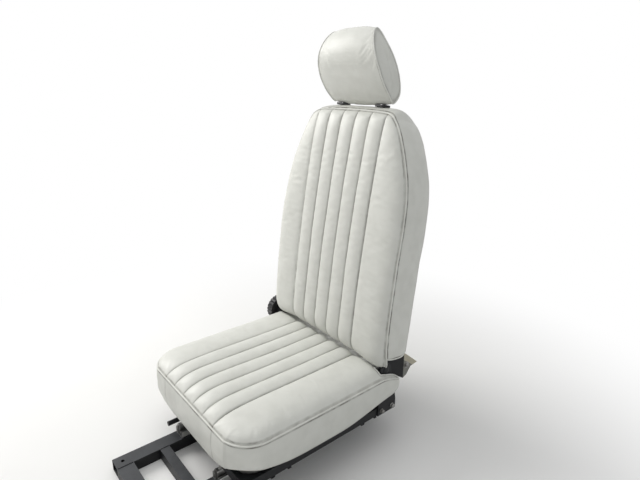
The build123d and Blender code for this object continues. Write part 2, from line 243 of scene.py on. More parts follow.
def turned(profile: Array, place: Array, axis: Array, sides: int) -> Mesh:
    """A turned shape: the profile's radius and height carried round an axis, with a pole at each end.

    Args:
        profile: Rows of radius and height; the first and last heights are also the poles'.
        place: Where height 0 lies.
        axis: The direction of height, of length one.
        sides: Points round it; six make a hexagon.

    Returns:
        Points and faces.
    """
    aside = unit(np.cross(axis, [0.31, 0.52, 0.79]))
    turn = np.linspace(0.0, 2.0 * np.pi, sides, endpoint=False)[:, None]
    ring = np.cos(turn) * aside + np.sin(turn) * np.cross(axis, aside)
    body = place + profile[:, None, :1] * ring + profile[:, None, 1:] * axis
    return round_mesh(body, place + profile[[0, -1], 1:] * axis)


def joined(parts: list[Mesh]) -> Mesh:
    """Several meshes' points and faces as one, with their numbers shifted."""
    starts = np.cumsum([0, *(len(points) for points, _ in parts[:-1])])
    blocks = [block + start for (_, faces), start in zip(parts, starts) for block in faces]
    return np.concatenate([points for points, _ in parts]), blocks


def prism(outline: Array, low: float, high: float) -> Mesh:
    """An upright prism: an outline of x and y carried from one height to another."""
    points = [np.column_stack([outline, np.full(len(outline), height)]) for height in (low, high)]
    rows = np.arange(2 * len(outline)).reshape(2, -1)
    return np.concatenate(points), [ring_quads(rows), rows]


def cut_out(piece: bpy.types.Object, cutter: bpy.types.Object) -> None:
    """Takes the cutter's room out of a closed piece and keeps the cut's edges crisp."""
    tool = piece.modifiers.new("slots", "BOOLEAN")
    tool.operation, tool.solver, tool.object = "DIFFERENCE", "EXACT", cutter
    whole = piece.data
    cut = bpy.data.meshes.new_from_object(piece.evaluated_get(bpy.context.evaluated_depsgraph_get()))
    piece.modifiers.clear()
    piece.data = cut
    bpy.data.meshes.remove(whole)
    cut.set_sharp_from_angle(angle=math.radians(50.0))


def cubic_spans(before: Array, here: Array, there: Array, after: Array, per_span: int) -> Array:
    """Catmull-Rom spans: cubics from here to there, with their end slopes from the knots before and after."""
    t = np.linspace(0.0, 1.0, per_span, endpoint=False)[None, :, None]
    before, here, there, after = (knots[:, None] for knots in (before, here, there, after))
    cubic = (
        2 * here + (there - before) * t + (2 * before - 5 * here + 4 * there - after) * t**2
        + (3 * here - before - 3 * there + after) * t**3
    ) / 2
    return cubic.reshape(-1, here.shape[-1])


def closed_curve(knots: Array, count: int) -> Array:
    """A closed Catmull-Rom curve through the knots, as that many evenly spaced points."""
    round_again = (np.roll(knots, shift, axis=0) for shift in (1, 0, -1, -2))
    return even_spacing(cubic_spans(*round_again, 60), count, closed=True)


def open_curve(knots: Array) -> Array:
    """A Catmull-Rom curve through the knots, its end slopes taken from the end spans."""
    line = np.concatenate([2 * knots[:1] - knots[1:2], knots, 2 * knots[-1:] - knots[-2:-1]])
    spans = cubic_spans(line[:-3], line[1:-2], line[2:-1], line[3:], 40)
    return np.concatenate([spans, knots[-1:]])


def even_spacing(path: Array, count: int, closed: bool) -> Array:
    """The same path with its points evenly spaced, by interpolation over its running length."""
    line = np.concatenate([path, path[:1]]) if closed else path
    run = np.concatenate([[0.0], np.cumsum(np.linalg.norm(np.diff(line, axis=0), axis=1))])
    wanted = np.linspace(0.0, run[-1], count, endpoint=not closed)
    return np.stack([np.interp(wanted, run, line[:, axis]) for axis in range(line.shape[1])], axis=1)


# Pad outlines and shells


@dataclass(frozen=True)
class EndCurve:
    """One end of a pad's outline: a smooth curve through knots of across and along, from side to middle."""

    knots: tuple[tuple[float, float], ...]

    def line(self) -> Array:
        """The curve's points in metres, Catmull-Rom spans between the knots."""
        return open_curve(np.array(self.knots) * MM)

    def width_at(self, along: Array) -> Array:
        """Half the pad's width at a distance along it, from the stretch between the side and the turn."""
        line = self.line()
        inward = line[0, 1] > line[-1, 1]
        last = (np.argmin(line[:, 1]) if inward else np.argmax(line[:, 1])) + 1
        side = line[:last]
        order = np.argsort(side[:, 1])
        return np.interp(along, side[order, 1], side[order, 0])

    def edge_at(self, across: Array) -> Array:
        """Where the end lies at a distance from the middle."""
        line = self.line()[::-1]
        return np.interp(np.abs(across), np.maximum.accumulate(line[:, 0]), line[:, 1])

    def turn(self) -> float:
        """The distance along the pad at which the curve runs at 45 degrees."""
        line = self.line()
        step = np.abs(np.diff(line, axis=0))
        return float(line[np.argmax(step[:, 0] >= step[:, 1]), 1])


def round_corner(half_width: float, end: float, radius: float, inward: int) -> EndCurve:
    """An end with circular corners; inward is +1 where the pad lies above the end, or -1 below it."""
    turn = np.radians(np.arange(0.0, 91.0, 15.0))
    across = half_width - radius + radius * np.cos(turn)
    along = end + inward * radius * (1.0 - np.sin(turn))
    start = (half_width, end + inward * 1.5 * radius)
    return EndCurve((start, *zip(across.tolist(), along.tolist()), (0.0, end)))


@dataclass(frozen=True)
class Outline:
    """A pad's outline between its low end and its high end."""

    half_width: float
    low: EndCurve
    high: EndCurve

    def width_at(self, along: Array) -> Array:
        """Half the width at a distance along the pad."""
        return np.minimum(self.low.width_at(along), self.high.width_at(along))

    def grid(self, inner: Array, outer: Array, rows: Array) -> tuple[Array, Array]:
        """A grid over the panel whose inner columns are straight and whose outer ones follow the sides.

        Args:
            inner: The straight columns' places across the pad.
            outer: Shares, from above 0 to 1, of the way from the last straight column to the side.
            rows: Shares, from 0 to 1, of the way from the low end to the high end.

        Returns:
            Places across and along the pad.
        """
        low_turn, high_turn = self.low.turn(), self.high.turn()
        side_along = low_turn + (high_turn - low_turn) * rows
        side_width = self.width_at(side_along)[:, None]
        flank = inner[-1] + (side_width - inner[-1]) * outer[None, :]
        straight = np.broadcast_to(inner, (len(rows), len(inner)))
        across = np.concatenate([-flank[:, ::-1], straight, flank], axis=1)
        near_low = np.clip(1.0 - rows / 0.3, 0.0, 1.0)[:, None] ** 2
        near_high = np.clip(1.0 - (1.0 - rows) / 0.3, 0.0, 1.0)[:, None] ** 2
        along = side_along[:, None] + near_low * (self.low.edge_at(across[0]) - low_turn)
        return across, along + near_high * (self.high.edge_at(across[-1]) - high_turn)

    def inset(self, across: Array, along: Array) -> Array:
        """Distance in from the outline: 1 / sqrt of the sum of 1 / d^2, over the sides and both ends."""
        gaps = (
            self.width_at(along) - np.abs(across),
            along - self.low.edge_at(across),
            self.high.edge_at(across) - along,
        )
        return sum(np.maximum(gap, 1e-6) ** -2.0 for gap in gaps) ** -0.5


def crown(inset: Array, reach: float) -> Array:
    """A pad's rise from 0 at its edge to 1 at reach: (1 - (1 - inset/reach)^2.2)^0.65."""
    left = 1.0 - np.clip(inset / reach, 0.0, 1.0)
    return (1.0 - left**2.2) ** 0.65


@dataclass(frozen=True)
class Flutes:
    """Sewn channels that run along a pad, between two plain bolsters."""

    pitch: float = 50.0 * MM
    rise: float = 7.0 * MM
    groove: float = 1.8 * MM
    groove_width: float = 1.1 * MM
    bolster_reach: float = 16.0 * MM
    edge_reach: float = 9.0 * MM

    @property
    def half(self) -> float:
        """Half the width of all the channels."""
        return FLUTES * self.pitch / 2

    def columns(self, per_flute: int) -> Array:
        """Columns crowded at the seams: each flute's share is (1 - cos) / 2."""
        share = (1.0 - np.cos(np.pi * np.arange(per_flute) / per_flute)) / 2.0
        starts = np.arange(FLUTES)[:, None] * self.pitch - self.half
        return np.append((starts + share * self.pitch).ravel(), self.half)

    def seam_distance(self, across: Array) -> Array:
        """Distance to the nearest seam, across the pad."""
        place = np.clip(np.round((across + self.half) / self.pitch), 0, FLUTES)
        return np.abs(across + self.half - place * self.pitch)

    def height(self, across: Array, inset: Array, blown: Array | float = 0.0) -> Array:
        """Each flute rises as sin^0.72 between its seams; a bolster rises as 1 - exp(-d / bolster_reach).

        Both fade at the pad's edge, and a narrow groove follows each seam.

        Args:
            across: Distance from the middle.
            inset: Distance in from the pad's edge.
            blown: How far the cloth departs from the plain flutes.

        Returns:
            The height over the panel.
        """
        share = np.clip((across + self.half) / self.pitch, 0.0, FLUTES) % 1.0
        flute = np.abs(np.sin(np.pi * share)) ** 0.72
        beyond = np.maximum(np.abs(across) - self.half, 0.0)
        bolster = 1.0 - np.exp(-beyond / self.bolster_reach)
        swell = np.where(beyond > 0.0, bolster, flute)
        fade = 1.0 - np.exp(-inset / self.edge_reach)
        cut = self.groove * bell(self.seam_distance(across), self.groove_width)
        return self.rise * swell * fade + blown - cut * fade


def pucker(rim_run: Array, wave: float, seed: int) -> Array:
    """Small uneven gathers along a seam: four sines of seeded length and phase, from -1 to 1."""
    draw = np.random.default_rng(seed)
    waves = wave * draw.uniform(0.7, 1.6, 4)
    phases = draw.uniform(0.0, 2.0 * np.pi, 4)
    return np.sin(2.0 * np.pi * rim_run[..., None] / waves + phases).mean(axis=-1)


def slow_noise(a: Array, b: Array, wave: float, seed: int) -> Array:
    """A smooth uneven field over two coordinates: eight seeded plane waves, from about -1 to 1."""
    draw = np.random.default_rng(seed)
    heading = draw.uniform(0.0, 2.0 * np.pi, 8)
    length = wave * draw.uniform(0.6, 1.8, 8)
    phase = draw.uniform(0.0, 2.0 * np.pi, 8)
    travel = a[..., None] * np.cos(heading) + b[..., None] * np.sin(heading)
    return np.sin(2.0 * np.pi * travel / length + phase).mean(axis=-1) * 1.6


@dataclass(frozen=True)
class Unevenness:
    """A stuffed panel's slow waves and the gathers beside its welt."""

    height: float
    wave: float
    slant: float
    reach: float
    seed: int
    gather_wave: float = 17.0 * MM
    calm_rim: float = 30.0 * MM

    def over(self, across: Array, along: Array, inset: Array) -> Array:
        """Waves that grow over a calm rim, plus gathers that fall as exp(-inset / reach)."""
        waves = slow_noise(across, along, self.wave, self.seed) * crown(inset, self.calm_rim)
        gathers = pucker(along + across * self.slant, self.gather_wave, self.seed + 1)
        gathers *= np.exp(-inset / self.reach) * smooth_step(inset, 0.0, 3.0 * MM)
        return self.height * (waves + gathers)


def welt_shadow(inset: Array) -> Array:
    """The dark line beside a welt: a bell 1 mm wide, 2.3 mm in from the edge."""
    return 1.1 * bell(inset - 2.3 * MM, 1.0 * MM)


def curve_weights(places: Array, count: int) -> Array:
    """Catmull-Rom weights: how much of each of count evenly numbered values lies at fractional places."""
    away = np.abs(places[:, None] - np.arange(count))
    near = 1.5 * away**3 - 2.5 * away**2 + 1.0
    far = -0.5 * away**3 + 2.5 * away**2 - 4.0 * away + 2.0
    return np.where(away < 1.0, near, np.where(away < 2.0, far, 0.0))


@dataclass(frozen=True)
class PanelGrid:
    """A fluted panel's grid: straight columns, shares of each flank's width, and shares of its length."""

    inner: Array
    outer: Array
    rows: Array

    def over(self, outline: Outline) -> tuple[Array, Array]:
        """The grid's places across and along a pad."""
        return outline.grid(self.inner, self.outer, self.rows)


@dataclass(frozen=True)
class Stuffing:
    """Cloth simulation of a fluted panel: vinyl a little too large, held at its rim and seams, blown out.

    The simulated sheet has even columns, and what it rises is carried to the panel's own grid.
    """

    pressure: float = 12.0
    frames: int = 20
    slack: float = 0.004
    bending: float = 0.3
    cap: float = 6.0 * MM
    wrinkle: float = 0.8 * MM
    rows: int = 101
    a_flute: int = 9
    a_flank: int = 20

    def even_grid(self, flutes: Flutes) -> PanelGrid:
        """The simulated sheet's grid."""
        inner = np.linspace(-flutes.half, flutes.half, FLUTES * self.a_flute + 1)
        outer = np.arange(1, self.a_flank + 1) / self.a_flank
        return PanelGrid(inner, outer, np.linspace(0.0, 1.0, self.rows))

    def held(self) -> Array:
        """Which of the sheet's points are sewn down: its rim and the columns on the seams."""
        columns = FLUTES * self.a_flute + 1 + 2 * self.a_flank
        held = np.zeros((self.rows, columns), dtype=bool)
        held[[0, -1]] = held[:, [0, -1]] = True
        held[:, self.a_flank : columns - self.a_flank : self.a_flute] = True
        return held

    def blow(self, points: Array, held: Array, quads: Array) -> Array:
        """Simulates a sheet whose faces point outwards.

        Args:
            points: The sheet's points before it is blown out.
            held: Which of them are sewn down.
            quads: Its faces.

        Returns:
            How far each point has moved at the last frame.
        """
        scene = bpy.context.scene
        mesh = bpy.data.meshes.new("stuffing_sheet")
        mesh.from_pydata(points.reshape(-1, 3).tolist(), [], quads.tolist())
        sheet = bpy.data.objects.new("stuffing_sheet", mesh)
        scene.collection.objects.link(sheet)
        sewn = sheet.vertex_groups.new(name="sewn")
        sewn.add(np.flatnonzero(held).tolist(), 1.0, "REPLACE")
        cloth = sheet.modifiers.new("stuffing", "CLOTH")
        settings = cloth.settings
        settings.vertex_group_mass = sewn.name
        settings.use_pressure = True
        settings.uniform_pressure_force = self.pressure
        settings.shrink_min = -self.slack
        settings.bending_stiffness = self.bending
        settings.effector_weights.gravity = 0.0
        cloth.collision_settings.use_collision = False
        cloth.point_cache.frame_start, cloth.point_cache.frame_end = 1, self.frames
        for frame_number in range(1, self.frames + 1):
            scene.frame_set(frame_number)
        blown = sheet.evaluated_get(bpy.context.evaluated_depsgraph_get())
        moved = np.empty(points.size, dtype=np.float32)
        blown.data.vertices.foreach_get("co", moved)
        bpy.data.objects.remove(sheet)
        bpy.data.meshes.remove(mesh)
        scene.frame_set(1)
        return moved.reshape(points.shape) - points

    def departure(self, rise: Array) -> Array:
        """How far a rise departs from the plain form, which is the product of its means along both ways.

        It is capped as wrinkle tanh(departure / wrinkle).
        """
        usual = rise.mean(axis=0, keepdims=True) * rise.mean(axis=1, keepdims=True) / rise.mean()
        change = self.wrinkle * np.tanh((rise - usual) / self.wrinkle)
        LOG.info("stuffing: rise %.1f mm, change %.2f mm", rise.mean() / MM, change.std() / MM)
        return change

    def wrapped_relief(self, points: Array, outward: Array, places: tuple[Array, Array]) -> Array:
        """How far the cloth departs from the plain bulge of a panel that wraps round, sewn at both sides.

        Args:
            points: An even sheet's points, a row for each place round it.
            outward: The way out at each row.
            places: Where the panel's own rows and columns fall among the sheet's.

        Returns:
            The departure.
        """
        rows, columns = points.shape[:2]
        held = np.zeros((rows, columns), dtype=bool)
        held[:, [0, -1]] = True
        quads = wrapped_quads(rows, columns)
        facing = np.cross(points[0, 1] - points[0, 0], points[1, 0] - points[0, 0]) @ outward[0]
        moved = self.blow(points, held, quads if facing > 0.0 else quads[:, ::-1])
        change = self.departure(np.sum(moved * outward[:, None], axis=-1))
        around = np.concatenate([change[-2:], change, change[:2]])
        return curve_weights(places[0] + 2, rows + 4) @ around @ curve_weights(places[1], columns).T

    def relief(
        self, outline: Outline, flutes: Flutes, grid: PanelGrid, surface: Surface, outward: Array
    ) -> Array:
        """How far the cloth departs from the plain flutes at each of a panel's points.

        The rise is first capped as cap tanh(rise / cap).

        Args:
            outline: The pad's outline.
            flutes: The pad's flutes.
            grid: The panel's own grid.
            surface: Gives the unfluted panel's points from places across and along it.
            outward: The way that the panel faces.

        Returns:
            The departure.
        """
        even = self.even_grid(flutes)
        held = self.held()
        points = surface(*even.over(outline))
        moved = self.blow(points, held, grid_quads(*held.shape))
        change = self.departure(self.cap * np.tanh(moved @ outward / self.cap))
        flute = self.a_flank + (grid.inner + flutes.half) / flutes.pitch * self.a_flute
        low_flank, high_flank = self.a_flank * (1.0 - grid.outer[::-1]), flute[-1] + self.a_flank * grid.outer
        down = curve_weights(grid.rows * (self.rows - 1), self.rows)
        over = curve_weights(np.concatenate([low_flank, flute, high_flank]), held.shape[1])
        return down @ change @ over.T


@dataclass
class Shell:
    """A closed pad from two face grids with the same rim and a band between them.

    A front seam crosses the band's front at that distance from the middle, on both sides.
    """

    face: Array
    back: Array
    face_marks: Array
    back_marks: Array
    band_rows: int = 22
    front_seam: float | None = None
    front_seam_width: float = 1.3 * MM
    front_seam_depth: float = 1.2 * MM
    gather: float = 0.5 * MM
    gather_wave: float = 22.0 * MM
    wave: float = 1.3 * MM
    wave_length: float = 90.0 * MM
    depth_of_band: float = 120.0 * MM

    def band(self, bulge: Array | float, tuck: Array | None, seed: int) -> tuple[Array, Array]:
        """The band: a line from rim to rim, bent by a tuck, plus a bulge of sin^0.6 and gathers by the seam.

        Args:
            bulge: How far the band stands out at its middle, in all or for each rim point.
            tuck: For each rim point, how far the line's knee at a quarter of its way is moved.
            seed: Seeds the unevenness.

        Returns:
            The band's points between the rims, and how much dirt and painted shade each gets near the seams.
        """
        rows, columns = self.face.shape[:2]
        rim = rim_of(rows, columns)
        top, low = self.face.reshape(-1, 3)[rim], self.back.reshape(-1, 3)[rim]
        middle = (top + low) / 2
        along = unit(np.roll(middle, -1, axis=0) - np.roll(middle, 1, axis=0))
        outward = unit(np.cross(along, unit(low - top)))
        outward *= np.sign(np.sum(outward * (middle - middle.mean(axis=0)), axis=1).mean())
        run = np.concatenate([[0.0], np.cumsum(np.linalg.norm(np.diff(middle, axis=0), axis=1))])
        t = (1.0 - np.cos(np.pi * np.arange(1, self.band_rows) / self.band_rows))[:, None] / 2
        swell = bulge * np.sin(np.pi * t) ** 0.6
        gather = self.gather * pucker(run, self.gather_wave, seed) * np.exp(-t / 0.2)
        gather = gather * np.sin(np.pi * t) ** 0.2
        places = np.broadcast_arrays(run[None, :], t * self.depth_of_band)
        wave = self.wave * slow_noise(*places, self.wave_length, seed + 1) * np.sin(np.pi * t)
        shift = (swell + gather + wave)[..., None] * outward
        points = top + (low - top) * t[..., None] + shift
        if tuck is not None:
            knee = np.minimum(t / 0.25, (1.0 - t) / 0.75)[..., None]
            points = points + knee * tuck
        # A painted shadow line just below the top rim's piping, with seam dirt; the band also darkens towards
        # its lower rim.
        marks = 1.9 * bell(t - 0.035, 0.016) + 0.7 * np.exp(-(1.0 - t) / 0.03) + 0.0 * run
        if self.front_seam is not None:
            in_front = middle[:, 1] < middle[:, 1].mean() - 0.15
            line = bell(np.abs(middle[:, 0]) - self.front_seam, self.front_seam_width) * in_front
            line = line * np.sin(np.pi * t) ** 0.3
            points = points - (self.front_seam_depth * line)[..., None] * outward
            # The front seam's sunk line is darkened: painted shade in its groove, with seam dirt.
            marks = marks + 1.3 * line
        return points, marks

    def piece(
        self, name: str, bulge: Array | float, seed: int, tuck: Array | None = None
    ) -> bpy.types.Object:
        """Joins the faces and the band into one closed piece.

        Args:
            name: The piece's name.
            bulge: How far the band stands out at its middle, in all or for each rim point.
            seed: Seeds the band's unevenness.
            tuck: For each rim point, how far the band's knee is moved.

        Returns:
            The piece.
        """
        rows, columns = self.face.shape[:2]
        count = rows * columns
        rim = rim_of(rows, columns)
        band, band_marks = self.band(bulge, tuck, seed)
        points = np.concatenate([self.face.reshape(-1, 3), self.back.reshape(-1, 3), band.reshape(-1, 3)])
        marks = np.concatenate([self.face_marks.ravel(), self.back_marks.ravel(), band_marks.ravel()])
        numbers = np.arange(band.shape[0] * band.shape[1]).reshape(band.shape[:2]) + 2 * count
        ladder = np.concatenate([rim[None], numbers, (rim + count)[None]])
        quads = grid_quads(rows, columns)
        return make_piece(name, (points, [quads, quads[:, ::-1] + count, ring_quads(ladder)]), marks)


# Finishes


Socket = bpy.types.NodeSocket


class Nodes:
    """Adds shader nodes to a tree and links them by socket name or number."""

    def __init__(self, tree: bpy.types.NodeTree) -> None:
        """Keeps the tree and empties it."""
        self.tree = tree
        tree.nodes.clear()

    def add(self, kind: str, inputs: dict | None = None, **settings: object) -> bpy.types.Node:
        """Adds a node.

        Args:
            kind: The node's type name, after ShaderNode.
            inputs: Values or output sockets, by input name or number.
            settings: The node's own properties.

        Returns:
            The node.
        """
        prefix = "" if kind.startswith("Node") else "ShaderNode"
        node = self.tree.nodes.new(prefix + kind)
        for key, value in settings.items():
            setattr(node, key, value)
        for key, value in (inputs or {}).items():
            if isinstance(value, bpy.types.NodeSocket):
                self.tree.links.new(value, node.inputs[key])
            else:
                node.inputs[key].default_value = value
        return node

    def value(self, operation: str, *terms: object, clamp: bool = False) -> Socket:
        """One sum, product or other operation on numbers or sockets."""
        return self.add("Math", dict(enumerate(terms)), operation=operation, use_clamp=clamp).outputs[0]

    def line(self, value: object, slope: float, start: float) -> Socket:
        """The value times a slope, plus a start."""
        return self.value("MULTIPLY_ADD", value, slope, start)

    def mix(self, share: object, first: object, second: object) -> Socket:
        """Two colours mixed by a share."""
        ends = [(*end, 1.0) if isinstance(end, tuple) else end for end in (first, second)]
        return self.add("Mix", {0: share, 6: ends[0], 7: ends[1]}, data_type="RGBA").outputs[2]

    def bump(self, height: object, distance: float, strength: float) -> Socket:
        """A normal bent by a height."""
        wanted = {"Height": height, "Distance": distance, "Strength": strength}
        return self.add("Bump", wanted).outputs[0]

    def seen(self) -> Socket:
        """One where the camera, gloss or glass sees it, and zero for other light."""
        path = self.add("LightPath").outputs
        direct = self.value("ADD", path["Is Camera Ray"], path["Is Glossy Ray"], clamp=True)
        return self.value("ADD", direct, path["Is Transmission Ray"], clamp=True)

    def ramp(self, value: object, low: float, high: float) -> Socket:
        """A value's smooth rise from 0 at low to 1 at high."""
        wanted = {"Value": value, "From Min": low, "From Max": high}
        return self.add("MapRange", wanted, interpolation_type="SMOOTHSTEP").outputs[0]

    def place(self) -> Socket:
        """The piece's own coordinates, in metres."""
        return self.add("TexCoord").outputs["Object"]

    def noise(self, where: object, scale: object, detail: float = 3.0, roughness: float = 0.5) -> Socket:
        """Noise from 0 to 1 at a number of cells a metre."""
        wanted = {"Vector": where, "Scale": scale, "Detail": detail, "Roughness": roughness}
        return self.add("TexNoise", wanted).outputs[0]


def shader_group(
    name: str, inputs: dict[str, float], outputs: tuple[str, ...]
) -> tuple[Nodes, dict[str, Socket], bpy.types.Node]:
    """Starts a shader node group with plain number sockets.

    Args:
        name: The group's name.
        inputs: Input names with their defaults.
        outputs: Output names.

    Returns:
        The node adder, the inputs' sockets by name, and the group's output node.
    """
    tree = bpy.data.node_groups.new(name, "ShaderNodeTree")
    for key, default in inputs.items():
        socket = tree.interface.new_socket(key, in_out="INPUT", socket_type="NodeSocketFloat")
        socket.default_value = default
    for key in outputs:
        tree.interface.new_socket(key, in_out="OUTPUT", socket_type="NodeSocketFloat")
    nodes = Nodes(tree)
    source = nodes.add("NodeGroupInput")
    sink = nodes.add("NodeGroupOutput")
    return nodes, {key: source.outputs[key] for key in inputs}, sink


def grain_group() -> bpy.types.NodeTree:
    """Pebbled grain: cells at the given count a metre, broken by fine noise, as a height and a tone."""
    nodes, given, sink = shader_group("pebble_grain", {"Scale": 900.0}, ("Height", "Tone"))
    where = nodes.place()
    warp = nodes.noise(where, nodes.value("MULTIPLY", given["Scale"], 0.5), 2.0)
    cells = nodes.add("TexVoronoi", {"Vector": where, "Scale": given["Scale"]}, feature="SMOOTH_F1")
    height = nodes.value("SUBTRACT", nodes.value("MULTIPLY", warp, 0.6), cells.outputs[0])
    tone = nodes.noise(where, nodes.value("MULTIPLY", given["Scale"], 0.03), 4.0)
    nodes.tree.links.new(height, sink.inputs["Height"])
    nodes.tree.links.new(tone, sink.inputs["Tone"])
    return nodes.tree


def soil_and_seam_shade_group() -> bpy.types.NodeTree:
    """Dirt and painted shade that lie thick in seams, and dirt that lies thin in broad blotches, from 0 to 1.
    """
    nodes, given, sink = shader_group("soiling_and_seam_shade", {"Seams": 0.7, "Blotches": 0.3}, ("Mask",))
    where = nodes.place()
    # Painted shade: the seam mark darkens the grooves and the lines beside the welts, mixed with real seam
    # dirt; the blotches are dirt alone.
    seam = nodes.add("Attribute", attribute_name=SEAM_DIRT_AND_SHADE).outputs["Fac"]
    broken = nodes.ramp(nodes.noise(where, 38.0, 4.0), 0.3, 0.75)
    seam_dirt_and_shade = nodes.value("MULTIPLY", seam, given["Seams"])
    seam_dirt_and_shade = nodes.value("MULTIPLY", seam_dirt_and_shade, nodes.value("ADD", broken, 0.45))
    blotch = nodes.ramp(nodes.noise(where, 6.5, 5.0, 0.62), 0.5, 0.78)
    spread = nodes.value("MULTIPLY", blotch, given["Blotches"])
    mask = nodes.value("ADD", seam_dirt_and_shade, spread, clamp=True)
    nodes.tree.links.new(mask, sink.inputs["Mask"])
    return nodes.tree


def wear_and_top_light_group() -> bpy.types.NodeTree:
    """Painted top light and rubbed paint: strong on faces that look up, with wear in long scuffs, from 0 to
    1.
    """
    nodes, given, sink = shader_group("rubbed_wear_and_top_light", {"Upward": 0.8, "Scuffs": 0.3}, ("Mask", "Grit"))
    where = nodes.place()
    facing = nodes.add("SeparateXYZ", {0: nodes.add("NewGeometry").outputs["Normal"]}).outputs[2]
    # Faces that look up are lightened: painted top light, with the wear of being stepped on.
    top_light_and_wear = nodes.ramp(facing, 0.75, 0.98)
    patches = nodes.line(nodes.ramp(nodes.noise(where, 24.0, 6.0, 0.65), 0.3, 0.7), 0.3, 0.7)
    long_scale = nodes.add("Mapping", {"Vector": where, "Scale": (1.0, 0.18, 1.0)}).outputs[0]
    scuffs = nodes.ramp(nodes.noise(long_scale, 150.0, 5.0, 0.7), 0.6, 0.72)
    lit_tops_and_wear = nodes.value("MULTIPLY", nodes.value("MULTIPLY", top_light_and_wear, patches), given["Upward"])
    mask = nodes.value("ADD", lit_tops_and_wear, nodes.value("MULTIPLY", scuffs, given["Scuffs"]), clamp=True)
    nodes.tree.links.new(mask, sink.inputs["Mask"])
    nodes.tree.links.new(nodes.noise(where, 420.0, 4.0), sink.inputs["Grit"])
    return nodes.tree


@dataclass
class Groups:
    """The node groups that the finishes share."""

    grain: bpy.types.NodeTree = field(default_factory=grain_group)
    soil_and_seam_shade: bpy.types.NodeTree = field(default_factory=soil_and_seam_shade_group)
    wear_and_top_light: bpy.types.NodeTree = field(default_factory=wear_and_top_light_group)

    @staticmethod
    def use(nodes: Nodes, tree: bpy.types.NodeTree, **values: float) -> bpy.types.bpy_prop_collection:
        """Places a group in a material with its own values and returns its outputs."""
        node = nodes.add("Group", node_tree=tree)
        for key, value in values.items():
            node.inputs[key].default_value = value
        return node.outputs


def new_material(name: str) -> tuple[bpy.types.Material, Nodes]:
    """An empty node material and its node adder."""
    material = bpy.data.materials.new(name)
    material.use_nodes = True
    return material, Nodes(material.node_tree)


@dataclass(frozen=True)
class Finish:
    """A finish, whose kinds each say what their surface's sockets hold."""

    name: str

    def sockets(self, nodes: Nodes, groups: Groups) -> dict:
        """Values or sockets by the surface shader's input names."""
        raise NotImplementedError

    def material(self, groups: Groups) -> bpy.types.Material:
        """Builds the material."""
        material, nodes = new_material(self.name)
        surface = nodes.add("BsdfPrincipled", self.sockets(nodes, groups))
        nodes.add("OutputMaterial", {"Surface": surface.outputs[0]})
        return material


@dataclass(frozen=True)
class Vinyl(Finish):
    """Grained vinyl with dirt and painted shade in its seams."""

    colour: Colour = (0.625, 0.63, 0.59)
    shade: Colour = (0.59, 0.595, 0.555)
    dirt_and_shade: Colour = (0.12, 0.112, 0.095)
    grain_scale: float = 950.0

    def sockets(self, nodes: Nodes, groups: Groups) -> dict:
        """A slowly changing tone, darker where it is soiled and where shade is painted by the seams, over
        pebbled grain.
        """
        grain = groups.use(nodes, groups.grain, Scale=self.grain_scale)
        soil_and_seam_shade = groups.use(nodes, groups.soil_and_seam_shade, Seams=0.58, Blotches=0.04)["Mask"]
        cloth = nodes.mix(nodes.ramp(grain["Tone"], 0.35, 0.7), self.colour, self.shade)
        return {
            # The dark colour paints shade by the seams and welts, together with seam dirt and dirt blotches.
            "Base Color": nodes.mix(soil_and_seam_shade, cloth, self.dirt_and_shade),
            "Roughness": nodes.line(grain["Tone"], 0.16, 0.40),
            "Normal": nodes.bump(grain["Height"], 0.18 * MM, 0.55),
        }


@dataclass(frozen=True)
class Paint(Finish):
    """Satin black paint over steel, grey on faces that look up: painted top light, with wear where it is
    stepped on.
    """

    colour: Colour = (0.007, 0.0075, 0.0088)
    # The grey of the upward faces: painted top light with wear.
    worn_and_lit_grey: Colour = (0.050, 0.053, 0.058)
    top_light_and_wear: float = 0.9
    scuffs: float = 0.3

    def sockets(self, nodes: Nodes, groups: Groups) -> dict:
        """Black to a grey of painted top light and wear, a little metallic there."""
        wear_and_top_light = groups.use(nodes, groups.wear_and_top_light, Upward=self.top_light_and_wear, Scuffs=self.scuffs)
        return {
            "Base Color": nodes.mix(wear_and_top_light["Mask"], self.colour, self.worn_and_lit_grey),
            "Roughness": nodes.line(wear_and_top_light["Grit"], 0.25, 0.33),
            "Metallic": nodes.value("MULTIPLY", wear_and_top_light["Mask"], 0.12),
            "Normal": nodes.bump(wear_and_top_light["Grit"], 0.25 * MM, 0.5),
            "Specular IOR Level": 0.28,
        }


